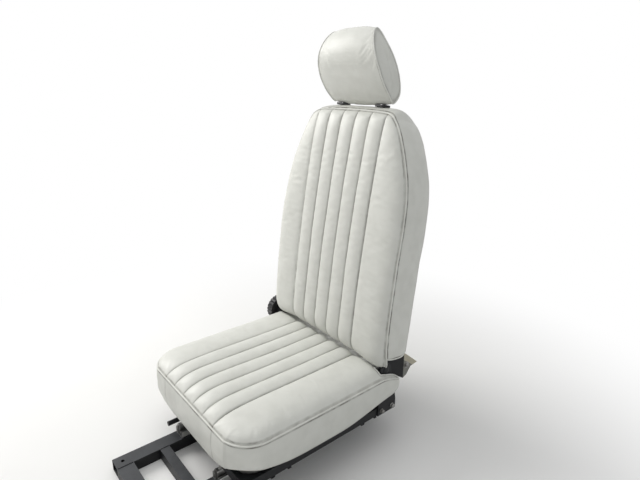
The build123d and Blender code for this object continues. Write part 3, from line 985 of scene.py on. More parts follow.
@dataclass(frozen=True)
class TwoTone(Finish):
    """The recliner arm's paint: black at the hinge, which is painted shade, grey primer behind it, and a pale
    warm top past the fold at its tip, which is painted light.

    The fold is where 0.75 times the place along Y plus the height comes to that length.
    """

    # Painted shade: black where the arm lies in the shadowed gap by the hinge.
    black: Colour = (0.006, 0.0065, 0.0075)
    grey: Colour = (0.20, 0.20, 0.18)
    # Painted light: the top past the fold is lit, so it is pale and warm.
    lit_top_colour: Colour = (0.44, 0.41, 0.32)
    scuffed: Colour = (0.34, 0.33, 0.29)
    grey_from: float = 346.0 * MM
    fold: float = 473.0 * MM
    fade: float = 2.0 * MM

    def sockets(self, nodes: Nodes, groups: Groups) -> dict:
        """The painted-shade black, the grey paint and the painted-light top, with ragged edges, scuffed
        behind the hinge.
        """
        wear_and_top_light = groups.use(nodes, groups.wear_and_top_light, Upward=0.3, Scuffs=0.25)
        place = nodes.add("SeparateXYZ", {0: nodes.place()}).outputs
        edge = nodes.value("ADD", place[1], nodes.value("MULTIPLY", wear_and_top_light["Grit"], self.fade))
        behind = nodes.ramp(edge, self.grey_from, self.grey_from + self.fade)
        slope = nodes.value("MULTIPLY_ADD", place[1], 0.75, place[2])
        lit_top = nodes.value("MULTIPLY", nodes.ramp(slope, self.fold, self.fold + self.fade), behind)
        scuff = nodes.value("MULTIPLY", nodes.value("MULTIPLY", wear_and_top_light["Mask"], 0.3), behind)
        colour = nodes.mix(lit_top, nodes.mix(behind, self.black, self.grey), self.lit_top_colour)
        return {
            "Base Color": nodes.mix(scuff, colour, self.scuffed),
            "Roughness": nodes.line(wear_and_top_light["Grit"], 0.25, 0.38),
            "Normal": nodes.bump(wear_and_top_light["Grit"], 0.2 * MM, 0.5),
            "Specular IOR Level": 0.2,
        }


@dataclass(frozen=True)
class Steel(Finish):
    """Bare or plated steel, with rolled lines and dull patches."""

    colour: Colour = (0.42, 0.42, 0.41)
    dull: Colour = (0.14, 0.135, 0.13)
    roughness: float = 0.3
    grime: float = 0.6

    def sockets(self, nodes: Nodes, groups: Groups) -> dict:
        """Metal that turns dull, rough and less metallic where grime lies."""
        patches = nodes.ramp(nodes.noise(nodes.place(), 30.0, 5.0), 0.4, 0.7)
        grime = nodes.value("MULTIPLY", patches, self.grime)
        lines = groups.use(nodes, groups.wear_and_top_light, Upward=0.0, Scuffs=1.0)["Mask"]
        return {
            "Base Color": nodes.mix(grime, self.colour, self.dull),
            "Roughness": nodes.line(grime, 0.35, self.roughness),
            "Metallic": nodes.line(grime, -0.5, 1.0),
            "Normal": nodes.bump(lines, 0.08 * MM, 0.4),
        }


@dataclass(frozen=True)
class Plastic(Finish):
    """Moulded black plastic with a fine spark-eroded grain."""

    colour: Colour = (0.011, 0.011, 0.0125)
    dusty: Colour = (0.022, 0.0215, 0.021)

    def sockets(self, nodes: Nodes, groups: Groups) -> dict:
        """Black with dusty patches."""
        grain = groups.use(nodes, groups.grain, Scale=1600.0)
        dust = nodes.ramp(nodes.noise(nodes.place(), 45.0, 5.0), 0.45, 0.8)
        return {
            "Base Color": nodes.mix(dust, self.colour, self.dusty),
            "Roughness": nodes.line(grain["Tone"], 0.2, 0.4),
            "Normal": nodes.bump(grain["Height"], 0.12 * MM, 0.5),
            "Specular IOR Level": 0.35,
        }


@dataclass
class Finishes:
    """Every finish of the seat, built once."""

    groups: Groups = field(default_factory=Groups)

    def __post_init__(self) -> None:
        """Builds the materials."""
        bright, bolt = (0.6, 0.6, 0.61), (0.36, 0.36, 0.35)
        self.vinyl = self.made(Vinyl("ivory_vinyl"))
        # Painted highlight: the piping's vinyl is lighter than the pad's, for the light that the raised cord
        # catches.
        self.piping = self.made(Vinyl("ivory_piping_highlit", (0.68, 0.685, 0.645), (0.60, 0.605, 0.565)))
        self.paint = self.made(Paint("black_frame_paint"))
        self.bracket = self.made(Paint("bracket_paint", top_light_and_wear=0.3, scuffs=0.2))
        self.arm = self.made(TwoTone("arm_paint"))
        self.zinc = self.made(Steel("zinc_slide"))
        self.chrome = self.made(Steel("bright_post", bright, (0.4, 0.4, 0.4), roughness=0.12, grime=0.15))
        self.bolt = self.made(Steel("bolt_steel", bolt, (0.1, 0.09, 0.08), roughness=0.35, grime=0.7))
        self.plastic = self.made(Plastic("black_plastic"))

    def made(self, finish: Finish) -> bpy.types.Material:
        """A finish's material."""
        return finish.material(self.groups)


def dress(piece: bpy.types.Object, material: bpy.types.Material) -> None:
    """Gives a piece one material."""
    piece.data.materials.clear()
    piece.data.materials.append(material)


def mount(piece: bpy.types.Object, body: Body, material: bpy.types.Material) -> None:
    """Dresses a new piece and fixes it to its body, with a line in the log."""
    dress(piece, material)
    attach(piece, body.value)
    LOG.info("%s: %d faces on %s", piece.name, len(piece.data.polygons), body.value)


def sew(name: str, parts: Mesh, body: Body, material: bpy.types.Material) -> None:
    """Makes a piping or a hem and fixes it to its body."""
    mount(make_piece(name, parts), body, material)


# Pads


@dataclass
class Cushion:
    """The seat cushion: crowned fluted top, boxing, piping, and a slot for each recliner arm."""

    finishes: Finishes
    outline: Outline = Outline(
        239.5 * MM,
        round_corner(239.5, -187.5, 75.0, 1),
        round_corner(239.5, 342.0, 58.0, -1),
    )
    flutes: Flutes = Flutes(pitch=50.15 * MM, rise=6.5 * MM)
    welt_height: float = 202.5 * MM
    rear_drop: float = 37.0 * MM
    drop_from: float = 235.0 * MM
    drop_over: float = 94.0 * MM
    base_height: float = 111.0 * MM
    foam_height: float = 89.0 * MM
    front_lift: float = 26.0 * MM
    rear_lift: float = 29.0 * MM
    crown_rise: float = 26.0 * MM
    crown_reach: float = 90.0 * MM
    tuck_drop: float = 14.0 * MM
    tuck_along: tuple[float, float] = (233.0 * MM, 268.0 * MM)
    sitting_dip: float = 3.0 * MM
    sitting_place: float = 90.0 * MM
    sitting_reach: tuple[float, float] = (130.0 * MM, 150.0 * MM)
    foam_edge: tuple[float, float] = (24.0 * MM, 34.0 * MM)
    front_corner: tuple[float, float] = (218.0 * MM, -165.0 * MM)
    front_corner_reach: tuple[float, float] = (62.0 * MM, 85.0 * MM)
    rear_rise: tuple[float, float] = (100.0 * MM, 330.0 * MM)
    underside_inset: float = 5.0 * MM
    seam_dirt_shade_width: float = 1.1 * MM
    unevenness: Unevenness = Unevenness(0.7 * MM, 120.0 * MM, 0.8, 16.0 * MM, 11)
    slot_across: tuple[float, float] = (206.5 * MM, 229.5 * MM)
    slot_front: float = 242.5 * MM
    slot_corner: float = 3.0 * MM
    slot_shadow_line: tuple[float, float] = (3.6 * MM, 1.6 * MM)
    slot_hem_radius: float = 1.7 * MM
    slot_hem_out: float = 1.0 * MM
    slot_hem_ends: tuple[float, float] = (334.0 * MM, 313.0 * MM)
    piping_radius: float = 1.9 * MM
    band_bulge: float = 5.0 * MM

    def grid(self) -> PanelGrid:
        """The top's grid."""
        flank = crowded(np.linspace(0.0, 1.0, 45)[1:], 0.4)
        rows = (1.0 + crowded(np.linspace(-1.0, 1.0, 191), 0.4)) / 2.0
        return PanelGrid(self.flutes.columns(16), flank, rows)

    def slot_outline(self, grown: float, ends: tuple[float, float]) -> Array:
        """A slot's outline seen from above: up its inner edge, round its front and back along its outer edge.

        Args:
            grown: How far outside the slot the line runs.
            ends: Where the inner and outer edges' lines end, along the cushion.

        Returns:
            Places across and along the cushion, with quarter circles at the front corners.
        """
        near, far = self.slot_across[0] - grown, self.slot_across[1] + grown
        front, radius = self.slot_front - grown, self.slot_corner + grown
        turn = np.linspace(0.0, np.pi / 2.0, 6)
        inward, behind = radius * (1.0 - np.cos(turn)), front + radius * (1.0 - np.sin(turn))
        inner = np.stack([near + inward, behind], axis=1)
        outer = np.stack([far - inward, behind], axis=1)
        return np.concatenate([[(near, ends[0])], inner, outer[::-1], [(far, ends[1])]])

    def slots(self) -> bpy.types.Object:
        """The room that both slots take, as one cutter that reaches past the cushion."""
        behind, below, above = 400.0 * MM, 50.0 * MM, 300.0 * MM
        outline = self.slot_outline(0.0, (behind, behind))
        parts = [prism(outline * [side, 1.0], below, above) for _, side in SIDES]
        return make_piece("slot_cutter", joined(parts), smooth=False)

    def unfluted(self, across: Array, along: Array) -> Array:
        """The top's points before it is fluted and sat on: their height is welt + crown - the drop behind."""
        inset = self.outline.inset(across, along)
        height = self.welt_height + self.crown_rise * crown(inset, self.crown_reach)
        height -= self.rear_drop * (np.maximum(along - self.drop_from, 0.0) / self.drop_over) ** 1.9
        height -= self.tuck_drop * smooth_step(along, *self.tuck_along) * crown(inset, self.crown_reach)
        return np.stack([across, along, height], axis=-1)

    def top(self, across: Array, along: Array, blown: Array) -> tuple[Array, Array]:
        """The top's height: crowned and fluted, less the dip where the occupant sits.

        Args:
            across: Distance from the middle.
            along: Distance along the cushion.
            blown: How far the cloth departs from the plain flutes.

        Returns:
            The points and how much dirt and painted shade each gets near the seams.
        """
        inset = self.outline.inset(across, along)
        height = self.unfluted(across, along)[..., 2] + self.flutes.height(across, inset, blown)
        sat = bell(across, self.sitting_reach[0]) * bell(along - self.sitting_place, self.sitting_reach[1])
        height += self.unevenness.over(across, along, inset) - self.sitting_dip * sat
        # Painted shade with seam dirt: dark lines along the flute seams, and the painted shadow beside the
        # welt.
        marks = np.exp(-self.flutes.seam_distance(across) / self.seam_dirt_shade_width) + welt_shadow(inset)
        # A painted shadow line runs round each slot, just outside its hem.
        beside = np.maximum(self.slot_across[0] - np.abs(across), np.abs(across) - self.slot_across[1])
        away = np.hypot(np.maximum(beside, 0.0), np.maximum(self.slot_front - along, 0.0))
        marks += bell(away - self.slot_shadow_line[0], self.slot_shadow_line[1])
        return np.stack([across, along, height], axis=-1), marks

    def underside(self, across: Array, along: Array) -> tuple[Array, Array]:
        """The underside: a hem that sits on the pan's rim, and foam that fills the pan inside it."""
        inset = self.outline.inset(across, along)
        corner = bell(np.abs(across) - self.front_corner[0], self.front_corner_reach[0])
        corner *= bell(along - self.front_corner[1], self.front_corner_reach[1])
        hem = self.base_height + self.front_lift * corner
        hem += self.rear_lift * smooth_step(along, *self.rear_rise)
        inward = 1.0 - self.underside_inset / self.outline.half_width
        height = hem - (hem - self.foam_height) * smooth_step(inset, *self.foam_edge)
        # The whole underside gets an even half mark, which darkens it evenly.
        return np.stack([across * inward, along, height], axis=-1), np.full(across.shape, 0.5)

    def build(self) -> None:
        """Builds the pad, its piping and its slots' hems and fixes them to the carriage."""
        grid = self.grid()
        across, along = grid.over(self.outline)
        blown = Stuffing().relief(self.outline, self.flutes, grid, self.unfluted, UP)
        face, face_marks = self.top(across, along, blown)
        back, back_marks = self.underside(across, along)
        shell = Shell(face, back, face_marks, back_marks, front_seam=self.flutes.half)
        pad = shell.piece("seat_cushion", self.band_bulge, 21)
        cutter = self.slots()
        cut_out(pad, cutter)
        mount(pad, Body.CARRIAGE, self.finishes.vinyl)
        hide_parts("cushion")
        rim = face.reshape(-1, 3)[rim_of(*across.shape)]
        welt = make_piece("cushion_piping", welt_tube(rim, 620, UP, self.piping_radius))
        cut_out(welt, cutter)
        mount(welt, Body.CARRIAGE, self.finishes.piping)
        bpy.data.objects.remove(cutter)
        for name, side in SIDES:
            edge = tube_mesh(self.slot_edge(side), self.slot_hem_radius, NEARLY_UP, closed=False)
            sew(f"cushion_slot_hem_{name}", edge, Body.CARRIAGE, self.finishes.piping)

    def slot_edge(self, side: float) -> Array:
        """The hem round a slot's upper edge, on the cushion's top."""
        line = self.slot_outline(self.slot_hem_out, self.slot_hem_ends)
        across, along = even_spacing(line, 90, closed=False).T
        rise = self.flutes.height(across, self.outline.inset(across, along)) + WELT_UP
        return (self.unfluted(across, along) + rise[:, None] * UP) * [side, 1.0, 1.0]


def from_back(across: Array, up: Array, depth: Array) -> Array:
    """Points given across, up and behind the backrest's datum, as places in the seat's frame."""
    across, up, depth = across[..., None], up[..., None], depth[..., None]
    return BACK_DATUM + across * ACROSS + up * BACK_UP + depth * BACK_REARWARD


def on_back(points: Array) -> tuple[Array, Array]:
    """How far points lie up the backrest and behind its datum."""
    return (points - BACK_DATUM) @ BACK_UP, (points - BACK_DATUM) @ BACK_REARWARD


@dataclass
class Backrest:
    """The backrest: fluted front, deep side bands and a plain rear panel."""

    finishes: Finishes
    outline: Outline = Outline(
        239.5 * MM,
        EndCurve((
            (239.5, 60.0), (239.5, 5.0), (238.5, -8.0), (235.0, -24.0), (227.0, -38.0), (214.0, -45.0),
            (195.0, -45.0), (160.0, -40.0), (120.0, -37.0), (0.0, -36.0),
        )),
        EndCurve((
            (239.5, 240.0), (239.5, 280.0), (238.3, 320.0), (235.8, 350.0), (230.8, 400.0), (221.0, 450.0),
            (203.5, 500.0), (190.7, 530.0), (175.5, 560.0), (161.5, 581.0), (147.0, 595.0), (128.0, 602.0),
            (90.0, 605.0), (0.0, 606.5),
        )),
    )
    flutes: Flutes = Flutes(pitch=51.3 * MM, rise=5.6 * MM)
    piping_radius: float = 1.8 * MM
    crown_reach: float = 58.0 * MM
    band_bulge: float = 5.0 * MM
    top_bulge: float = 12.0 * MM
    hem_drop: float = 9.0 * MM
    unevenness: Unevenness = Unevenness(0.6 * MM, 130.0 * MM, 0.7, 15.0 * MM, 31)
    hem_line: tuple[tuple[float, float, float], ...] = (
        (239.5, -7.5, 37.0), (242.0, -9.0, 48.0), (243.2, -9.6, 66.0), (242.7, -9.2, 87.0),
        (239.0, -7.6, 102.0), (232.5, -8.0, 110.6), (222.0, -8.8, 111.6),
    )
    hem_up: Array = field(default_factory=lambda: np.array([0.3, 0.2, 1.0]))
    seam_bow: float = 9.0 * MM
    seam_middle: float = 300.0 * MM
    rear_belly: float = 7.0 * MM
    rear_edge: float = 50.0 * MM
    rear_unevenness: float = 0.8 * MM
    rear_wave: float = 160.0 * MM
    seam_dirt_shade_width: float = 1.0 * MM
    rear_mark: float = 2.0 * MM
    tail_from: float = 8.0 * MM
    tuck_over: float = 7.0 * MM
    tuck_up: float = 2.0 * MM
    tuck_behind: float = 10.0 * MM
    top_band: tuple[float, float] = (588.0 * MM, 603.0 * MM)

    def grid(self) -> PanelGrid:
        """The front's grid."""
        flank = crowded(np.linspace(0.0, 1.0, 27)[1:], 0.6)
        rows = (1.0 + crowded(np.linspace(-1.0, 1.0, 181), 0.4)) / 2.0
        return PanelGrid(self.flutes.columns(16), flank, rows)

    @staticmethod
    def welt_depth(up: Array) -> Array:
        """How far the front welt lies behind the flat of the front, along the backrest."""
        places = np.array([-45, -36, -20, 0, 20, 60, 100, 150, 250, 300, 350, 400, 590, 607]) * MM
        depths = np.array([60, 52, 42, 33, 28, 22.5, 19.5, 17, 13.5, 14, 17, 19, 19.5, 25]) * MM
        return np.interp(up, places, depths)

    def seam_depth(self, up: Array) -> Array:
        """How far the fluted part's seams lie behind the datum: seam_bow ((up - middle) / middle)^2."""
        return self.seam_bow * ((up - self.seam_middle) / self.seam_middle) ** 2

    @staticmethod
    def rear_depth(up: Array) -> Array:
        """How far the rear panel's edge lies behind the flat of the front."""
        places = np.array([-10.0, 0.0, 60.0, 150.0, 250.0, 350.0, 450.0, 540.0, 580.0, 607.0]) * MM
        depths = np.array([111.0, 114.0, 112.0, 109.0, 105.0, 110.0, 112.0, 111.0, 106.0, 94.0]) * MM
        return np.interp(up, places, depths)

    def bare_depth(self, across: Array, up: Array) -> Array:
        """How far the unfluted front lies behind the datum: it rises from the welt by a crown."""
        share = crown(self.outline.inset(across, up), self.crown_reach)
        return self.welt_depth(up) * (1.0 - share) + self.seam_depth(up) * share

    def unfluted(self, across: Array, up: Array) -> Array:
        """The front's points before it is fluted."""
        return from_back(across, up, self.bare_depth(across, up))

    def front(self, across: Array, up: Array, blown: Array) -> tuple[Array, Array]:
        """The front: the crowned panel with its flutes, gathered by the welt.

        Args:
            across: Distance from the middle.
            up: Distance up the backrest.
            blown: How far the cloth departs from the plain flutes.

        Returns:
            The points and how much dirt and painted shade each gets near the seams.
        """
        inset = self.outline.inset(across, up)
        depth = self.bare_depth(across, up) - self.flutes.height(across, inset, blown)
        depth += self.unevenness.over(across, up, inset)
        # Painted shade with seam dirt: dark lines along the flute seams, and the painted shadow beside the
        # welt.
        marks = np.exp(-self.flutes.seam_distance(across) / self.seam_dirt_shade_width) + welt_shadow(inset)
        return from_back(across, up, depth), marks

    def rear(self, across: Array, up: Array) -> tuple[Array, Array]:
        """The rear panel: nearly flat, with a soft edge and a slight belly."""
        inset = self.outline.inset(across, up)
        below = np.maximum(-up, 0.0)
        lifted = np.where(up < 0.0, -self.hem_drop * (1.0 - np.exp(-below / self.hem_drop)), up * 0.99)
        depth = self.rear_depth(lifted) + self.rear_belly * crown(inset, self.rear_edge)
        depth += self.rear_unevenness * slow_noise(across, up, self.rear_wave, 33)
        # The rear panel darkens towards its edge by the seam.
        return from_back(across * 0.985, lifted, depth), np.exp(-inset / self.rear_mark)

    def tuck(self, rim: Array) -> Array:
        """How far the band's knee is moved: below the hem it goes up and in behind the front panel's tail.

        Args:
            rim: The front rim's points.

        Returns:
            One vector for each point.
        """
        up, depth = on_back(rim)
        below = smooth_step(-up, self.tail_from, self.tail_from + self.tuck_over)
        straight = 0.75 * up - 0.25 * self.hem_drop
        lift = (-self.hem_drop - self.tuck_up - straight) * below
        forward = (depth + self.tuck_behind - (0.75 * depth + 0.25 * self.rear_depth(up))) * below
        inward = -0.06 * rim[:, 0] * below
        return inward[:, None] * ACROSS + lift[:, None] * BACK_UP + forward[:, None] * BACK_REARWARD

    def swell(self, rim: Array) -> Array:
        """How far the band stands out at each rim point: more along the top than at the sides."""
        up, _ = on_back(rim)
        top = smooth_step(up, *self.top_band)
        below = smooth_step(-up, self.tail_from, 2.0 * self.tail_from)
        return self.band_bulge * (1.0 - below) + self.top_bulge * top

    def hem(self) -> Array:
        """The line of the side bands' and rear panel's lower edge, from one front corner to the other."""
        half = open_curve(np.array(self.hem_line) * MM)
        whole = np.concatenate([half, half[::-1] * [-1.0, 1.0, 1.0]])
        return from_back(*even_spacing(whole, 260, closed=False).T)

    def build(self) -> None:
        """Builds the pad, its piping and its hem and fixes them to the backrest."""
        grid = self.grid()
        across, up = grid.over(self.outline)
        blown = Stuffing().relief(self.outline, self.flutes, grid, self.unfluted, -BACK_REARWARD)
        face, face_marks = self.front(across, up, blown)
        back, back_marks = self.rear(across, up)
        rim = face.reshape(-1, 3)[rim_of(*across.shape)]
        shell = Shell(face, back, face_marks, back_marks, 30)
        pad = shell.piece("backrest_pad", self.swell(rim), 41, self.tuck(rim))
        mount(pad, Body.BACKREST, self.finishes.vinyl)
        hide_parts("backrest")
        welt = welt_tube(rim, 760, -BACK_REARWARD, self.piping_radius)
        sew("backrest_piping", welt, Body.BACKREST, self.finishes.piping)
        edge = tube_mesh(self.hem(), self.piping_radius, self.hem_up, closed=False)
        sew("backrest_hem", edge, Body.BACKREST, self.finishes.piping)


@dataclass
class Headrest:
    """The headrest: one panel wrapped round a lens-shaped gusset at each side, piped on both edges."""

    finishes: Finishes
    profile: tuple[tuple[float, float], ...] = (
        (629.5, 52.0), (634.0, 44.0), (642.0, 34.0), (655.0, 18.5), (670.0, 4.0), (685.0, -8.0),
        (700.0, -17.0), (715.0, -25.0), (732.0, -30.5), (750.0, -32.6), (768.0, -30.0), (783.0, -24.0),
        (795.0, -14.0), (798.0, -4.0), (791.0, 5.0), (778.0, 13.0), (764.0, 22.0), (745.0, 34.0),
        (725.0, 44.0), (705.0, 52.5), (685.0, 60.0), (668.0, 65.0), (652.0, 66.0), (640.0, 61.5),
        (632.0, 57.0),
    )
    piping_radius: float = 1.8 * MM
    panel_bulge: float = 7.0 * MM
    gusset_bulge: float = 9.0 * MM
    points_round: int = 200
    points_across: int = 70
    gusset_rings: int = 16
    sheet: tuple[int, int] = (96, 36)

    @staticmethod
    def half_width(up: Array) -> Array:
        """Half the width at a height: fullest low down, drawn in towards the top."""
        places = np.array([628.0, 634.0, 642.0, 655.0, 680.0, 700.0, 720.0, 740.0, 760.0, 780.0, 800.0]) * MM
        widths = np.array([108.0, 111.5, 113.7, 114.5, 114.0, 112.5, 108.5, 102.5, 95.0, 85.6, 74.0]) * MM
        return np.interp(up, places, widths)

    def loop(self, count: int) -> Array:
        """The gusset's outline as places up and behind the datum."""
        return closed_curve(np.array(self.profile) * MM, count)

    @staticmethod
    def outward(loop: Array) -> Array:
        """The way out at each of the loop's points: its run turned by a quarter, up and behind."""
        ahead = np.roll(loop, -1, axis=0) - np.roll(loop, 1, axis=0)
        across_run = unit(np.stack([ahead[:, 1], -ahead[:, 0]], axis=1))
        return across_run * np.sign(np.sum(across_run * (loop - loop.mean(axis=0))))

    def blown(self) -> Array:
        """How far the cloth departs from the plain panel, from a simulated sheet of about half its grid."""
        loop = self.loop(self.sheet[0])
        turned_out = self.outward(loop)
        outward = turned_out[:, :1] * BACK_UP + turned_out[:, 1:] * BACK_REARWARD
        rows = np.arange(self.points_round) * self.sheet[0] / self.points_round
        places = (rows, np.linspace(0.0, self.sheet[1] - 1.0, self.points_across))
        return Stuffing().wrapped_relief(self.panel(loop, self.sheet[1], 0.0), outward, places)

    def panel(self, loop: Array, columns: int, blown: Array | float) -> Array:
        """The wrapped panel: the loop carried across, standing out by bulge (1 - u^2.4) at its middle.

        Args:
            loop: The gusset's outline.
            columns: Points across the panel.
            blown: How far the cloth departs from that.

        Returns:
            The panel's points, a row for each of the loop's.
        """
        share = crowded(np.linspace(-1.0, 1.0, columns), 0.4)
        outward = self.outward(loop)
        rise = self.panel_bulge * (1.0 - np.abs(share) ** 2.4) + blown
        up = loop[:, :1] + outward[:, :1] * rise
        depth = loop[:, 1:] + outward[:, 1:] * rise
        across = self.half_width(loop[:, :1]) * share
        return from_back(across, up, depth)

    def gusset(self, rim: Array, side: float) -> Array:
        """A gusset: rings that shrink to its middle, bulging out by bulge (1 - r^2), and its middle."""
        share = np.linspace(1.0, 0.0, self.gusset_rings + 1)[1:, None, None]
        middle = rim.mean(axis=0)
        rings = middle + (rim - middle) * share + side * self.gusset_bulge * (1.0 - share**2) * ACROSS
        return np.concatenate([rings[:-1].reshape(-1, 3), rings[-1, :1]])

    def build(self) -> None:
        """Builds the pad and both pipings and fixes them to the headrest."""
        count, columns, rings = self.points_round, self.points_across, self.gusset_rings
        panel = self.panel(self.loop(count), columns, self.blown())
        points = [panel.reshape(-1, 3)]
        faces = [wrapped_quads(count, columns)]
        pole = count * columns - 1
        for (name, side), column in zip(SIDES[::-1], (0, columns - 1)):
            rim = panel[:, column]
            points.append(self.gusset(rim, side))
            numbers = np.arange((rings - 1) * count).reshape(rings - 1, count) + pole + 1
            ladder = np.concatenate([(np.arange(count) * columns + column)[None], numbers])
            pole += (rings - 1) * count + 1
            faces += [ring_quads(ladder), fan(ladder[-1], pole)]
            welt = tube_mesh(even_spacing(rim, 260, closed=True), self.piping_radius, ACROSS, closed=True)
            sew(f"headrest_piping_{name}", welt, Body.HEADREST, self.finishes.piping)
        points = np.concatenate(points)
        inset = np.maximum(self.half_width(on_back(panel)[0]) - np.abs(panel[..., 0]), 0.0)
        # Painted shadow lines: beside the welts on the panel, and on the gussets' outer rings by the piping,
        # with seam dirt.
        beside = np.append(0.8 * np.repeat(np.exp(-np.arange(rings - 1) / 0.6), count), 0.0)
        marks = np.concatenate([welt_shadow(inset).ravel(), beside, beside])
        pad = make_piece("headrest_pad", (points, faces), marks)
        mount(pad, Body.HEADREST, self.finishes.vinyl)
        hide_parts("headrest")


# Hardware and studio


@dataclass
class Hardware:
    """Dresses the rigid pieces that come from the construction."""

    finishes: Finishes

    def build(self) -> None:
        """Gives each rigid node its finish."""
        table = (
            (self.finishes.paint, ("frame_", "cushion_pan", "carriage_channel")),
            (self.finishes.bracket, ("recliner_base", "recliner_gear")),
            (self.finishes.arm, ("recliner_arm",)),
            (self.finishes.zinc, ("slide_", "release_rod")),
            (self.finishes.plastic, ("release_grip", "recliner_wheel", "headrest_guide")),
            (self.finishes.chrome, ("headrest_post",)),
        )
        for material, prefixes in table:
            for name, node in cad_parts.items():
                if name.startswith(prefixes):
                    dress(node, material)
        LOG.info("dressed the rigid nodes")


@dataclass
class Fasteners:
    """Bolts on washers, a pivot cap, the hand wheel's cap and the frame's weld beads.

    Places are millimetres along the seat and up. Flats are the distances across the bolts' heads.
    """

    finishes: Finishes
    washer_height: float = 1.5 * MM
    washer_edge: float = 0.4 * MM
    slide_stop_in: float = 14.0 * MM
    slide_flats: float = 9.0 * MM
    foot_flats: float = 7.0 * MM
    plate_flats: float = 10.0 * MM
    arm_flats: float = 11.0 * MM
    bead_radius: float = 1.7 * MM
    bead_ripple: float = 0.35 * MM
    bead_pitch: float = 3.2 * MM
    bead_end: float = 0.8 * MM
    bead_points: int = 40
    foot_bolt_in: float = 4.5 * MM
    foot_wall: float = 2.0 * MM
    plate_bolts: tuple[tuple[float, float], ...] = ((258.0, 96.0), (298.0, 96.0))
    arm_bolt: tuple[float, float] = (357.0, 196.0)
    pivot: tuple[float, float] = (267.0, 217.0)

    def bolt(
        self, place: Array, axis: Array, flats: float, spread: float = 1.15, tall: float = 0.6
    ) -> list[Mesh]:
        """A round washer with a hexagon head on it, whose top edge slopes in.

        Args:
            place: Where the washer sits.
            axis: The way that the head points.
            flats: The distance across the head's flats.
            spread: The washer's radius as a share of the head's corner radius.
            tall: The head's height as a share of its flats.

        Returns:
            The two meshes.
        """
        corner = flats / math.sqrt(3.0)
        wide = corner * spread
        rim, seat = self.washer_edge, self.washer_height
        washer = np.array([(wide, 0.0), (wide, seat - rim), (wide - rim, seat)])
        top = seat + tall * flats
        head = np.array([(corner, seat - 0.1 * MM), (corner, top - 0.12 * flats), (0.84 * corner, top)])
        return [turned(washer, place, axis, 28), turned(head, place, axis, 6)]

    @staticmethod
    def cap(place: Array, axis: Array, radius: float, height: float) -> Mesh:
        """A domed cap: its height falls as the square of the distance from its middle."""
        share = np.array([1.0, 1.0, 0.9, 0.75, 0.5, 0.2])
        rise = np.append(0.0, 0.4 + 0.6 * (1.0 - share[1:] ** 2)) * height
        return turned(np.stack([share * radius, rise], axis=1), place, axis, 36)

    def carriage_bolts(self) -> list[Mesh]:
        """Bolts through the channels' feet, on the slides' front ends and through the base plates."""
        parts = []
        for name, side in SIDES:
            slide_low, slide_high = np.array(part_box(f"slide_upper_{name}"))
            across = (slide_low[0] + slide_high[0]) / 2
            stop = np.array([across, slide_low[1] + self.slide_stop_in, slide_high[2]])
            parts += self.bolt(stop, UP, self.slide_flats, 1.3)
            for channel in ("front", "rear"):
                low, high = np.array(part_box(f"carriage_channel_{channel}"))
                for along in (low[1] + self.foot_bolt_in, high[1] - self.foot_bolt_in):
                    on_foot = np.array([across, along, low[2] + self.foot_wall])
                    parts += self.bolt(on_foot, UP, self.foot_flats, 1.05)
            for place in self.plate_bolts:
                on_plate = self.beside(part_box(f"recliner_base_plate_{name}"), side, place)
                parts += self.bolt(on_plate, side * ACROSS, self.plate_flats)
        return parts

    @staticmethod
    def beside(box: tuple, side: float, place: tuple[float, float]) -> Array:
        """A point on a box's outer face, at a place in millimetres along the seat and up."""
        low, high = np.array(box)
        return np.array([high[0] if side > 0 else low[0], place[0] * MM, place[1] * MM])

    def welds(self) -> list[Mesh]:
        """Beads where each cross bar meets a rail: a tube whose radius ripples, sunk to half its height."""
        parts = []
        for bar in ("front", "step", "under", "rear"):
            low, high = np.array(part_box(f"frame_crossbar_{bar}"))
            along = np.linspace(low[1] + 1.0 * MM, high[1] - 1.0 * MM, self.bead_points)
            radius = self.bead_radius + self.bead_ripple * np.sin(2.0 * np.pi * along / self.bead_pitch)
            radius[[0, -1]] = self.bead_end
            for across in (low[0], high[0]):
                path = np.stack(np.broadcast_arrays(across, along, high[2]), axis=1)
                parts.append(tube_mesh(path, radius, UP, closed=False, sides=10))
        return parts

    def build(self) -> None:
        """Builds the fasteners and fixes each group to its body."""
        wheel_middle = self.beside(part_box("recliner_wheel"), -1.0, self.pivot)
        wheel = self.cap(wheel_middle, -ACROSS, 12.0 * MM, 2.4 * MM)
        plate_middle = self.beside(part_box("recliner_base_plate_left"), 1.0, self.pivot)
        pivot = self.cap(plate_middle, ACROSS, 10.0 * MM, 2.5 * MM)
        arms = []
        for name, side in SIDES:
            on_arm = self.beside(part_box(f"recliner_arm_{name}"), side, self.arm_bolt)
            arms += self.bolt(on_arm, side * ACROSS, self.arm_flats, 1.5, tall=0.38)
        groups = (
            ("carriage_bolts", self.carriage_bolts(), Body.CARRIAGE, Slot.SLIDE, self.finishes.bolt, False),
            ("arm_bolts", arms, Body.BACKREST, Slot.SLIDE, self.finishes.bolt, False),
            ("wheel_cap", [wheel], Body.CARRIAGE, Slot.PLASTIC, self.finishes.plastic, True),
            ("pivot_cap", [pivot], Body.CARRIAGE, Slot.FRAME, self.finishes.bracket, True),
            ("frame_welds", self.welds(), Body.BASE, Slot.FRAME, self.finishes.paint, True),
        )
        for name, parts, body, slot, material, smooth in groups:
            mount(make_piece(name, joined(parts), smooth=smooth), body, material)


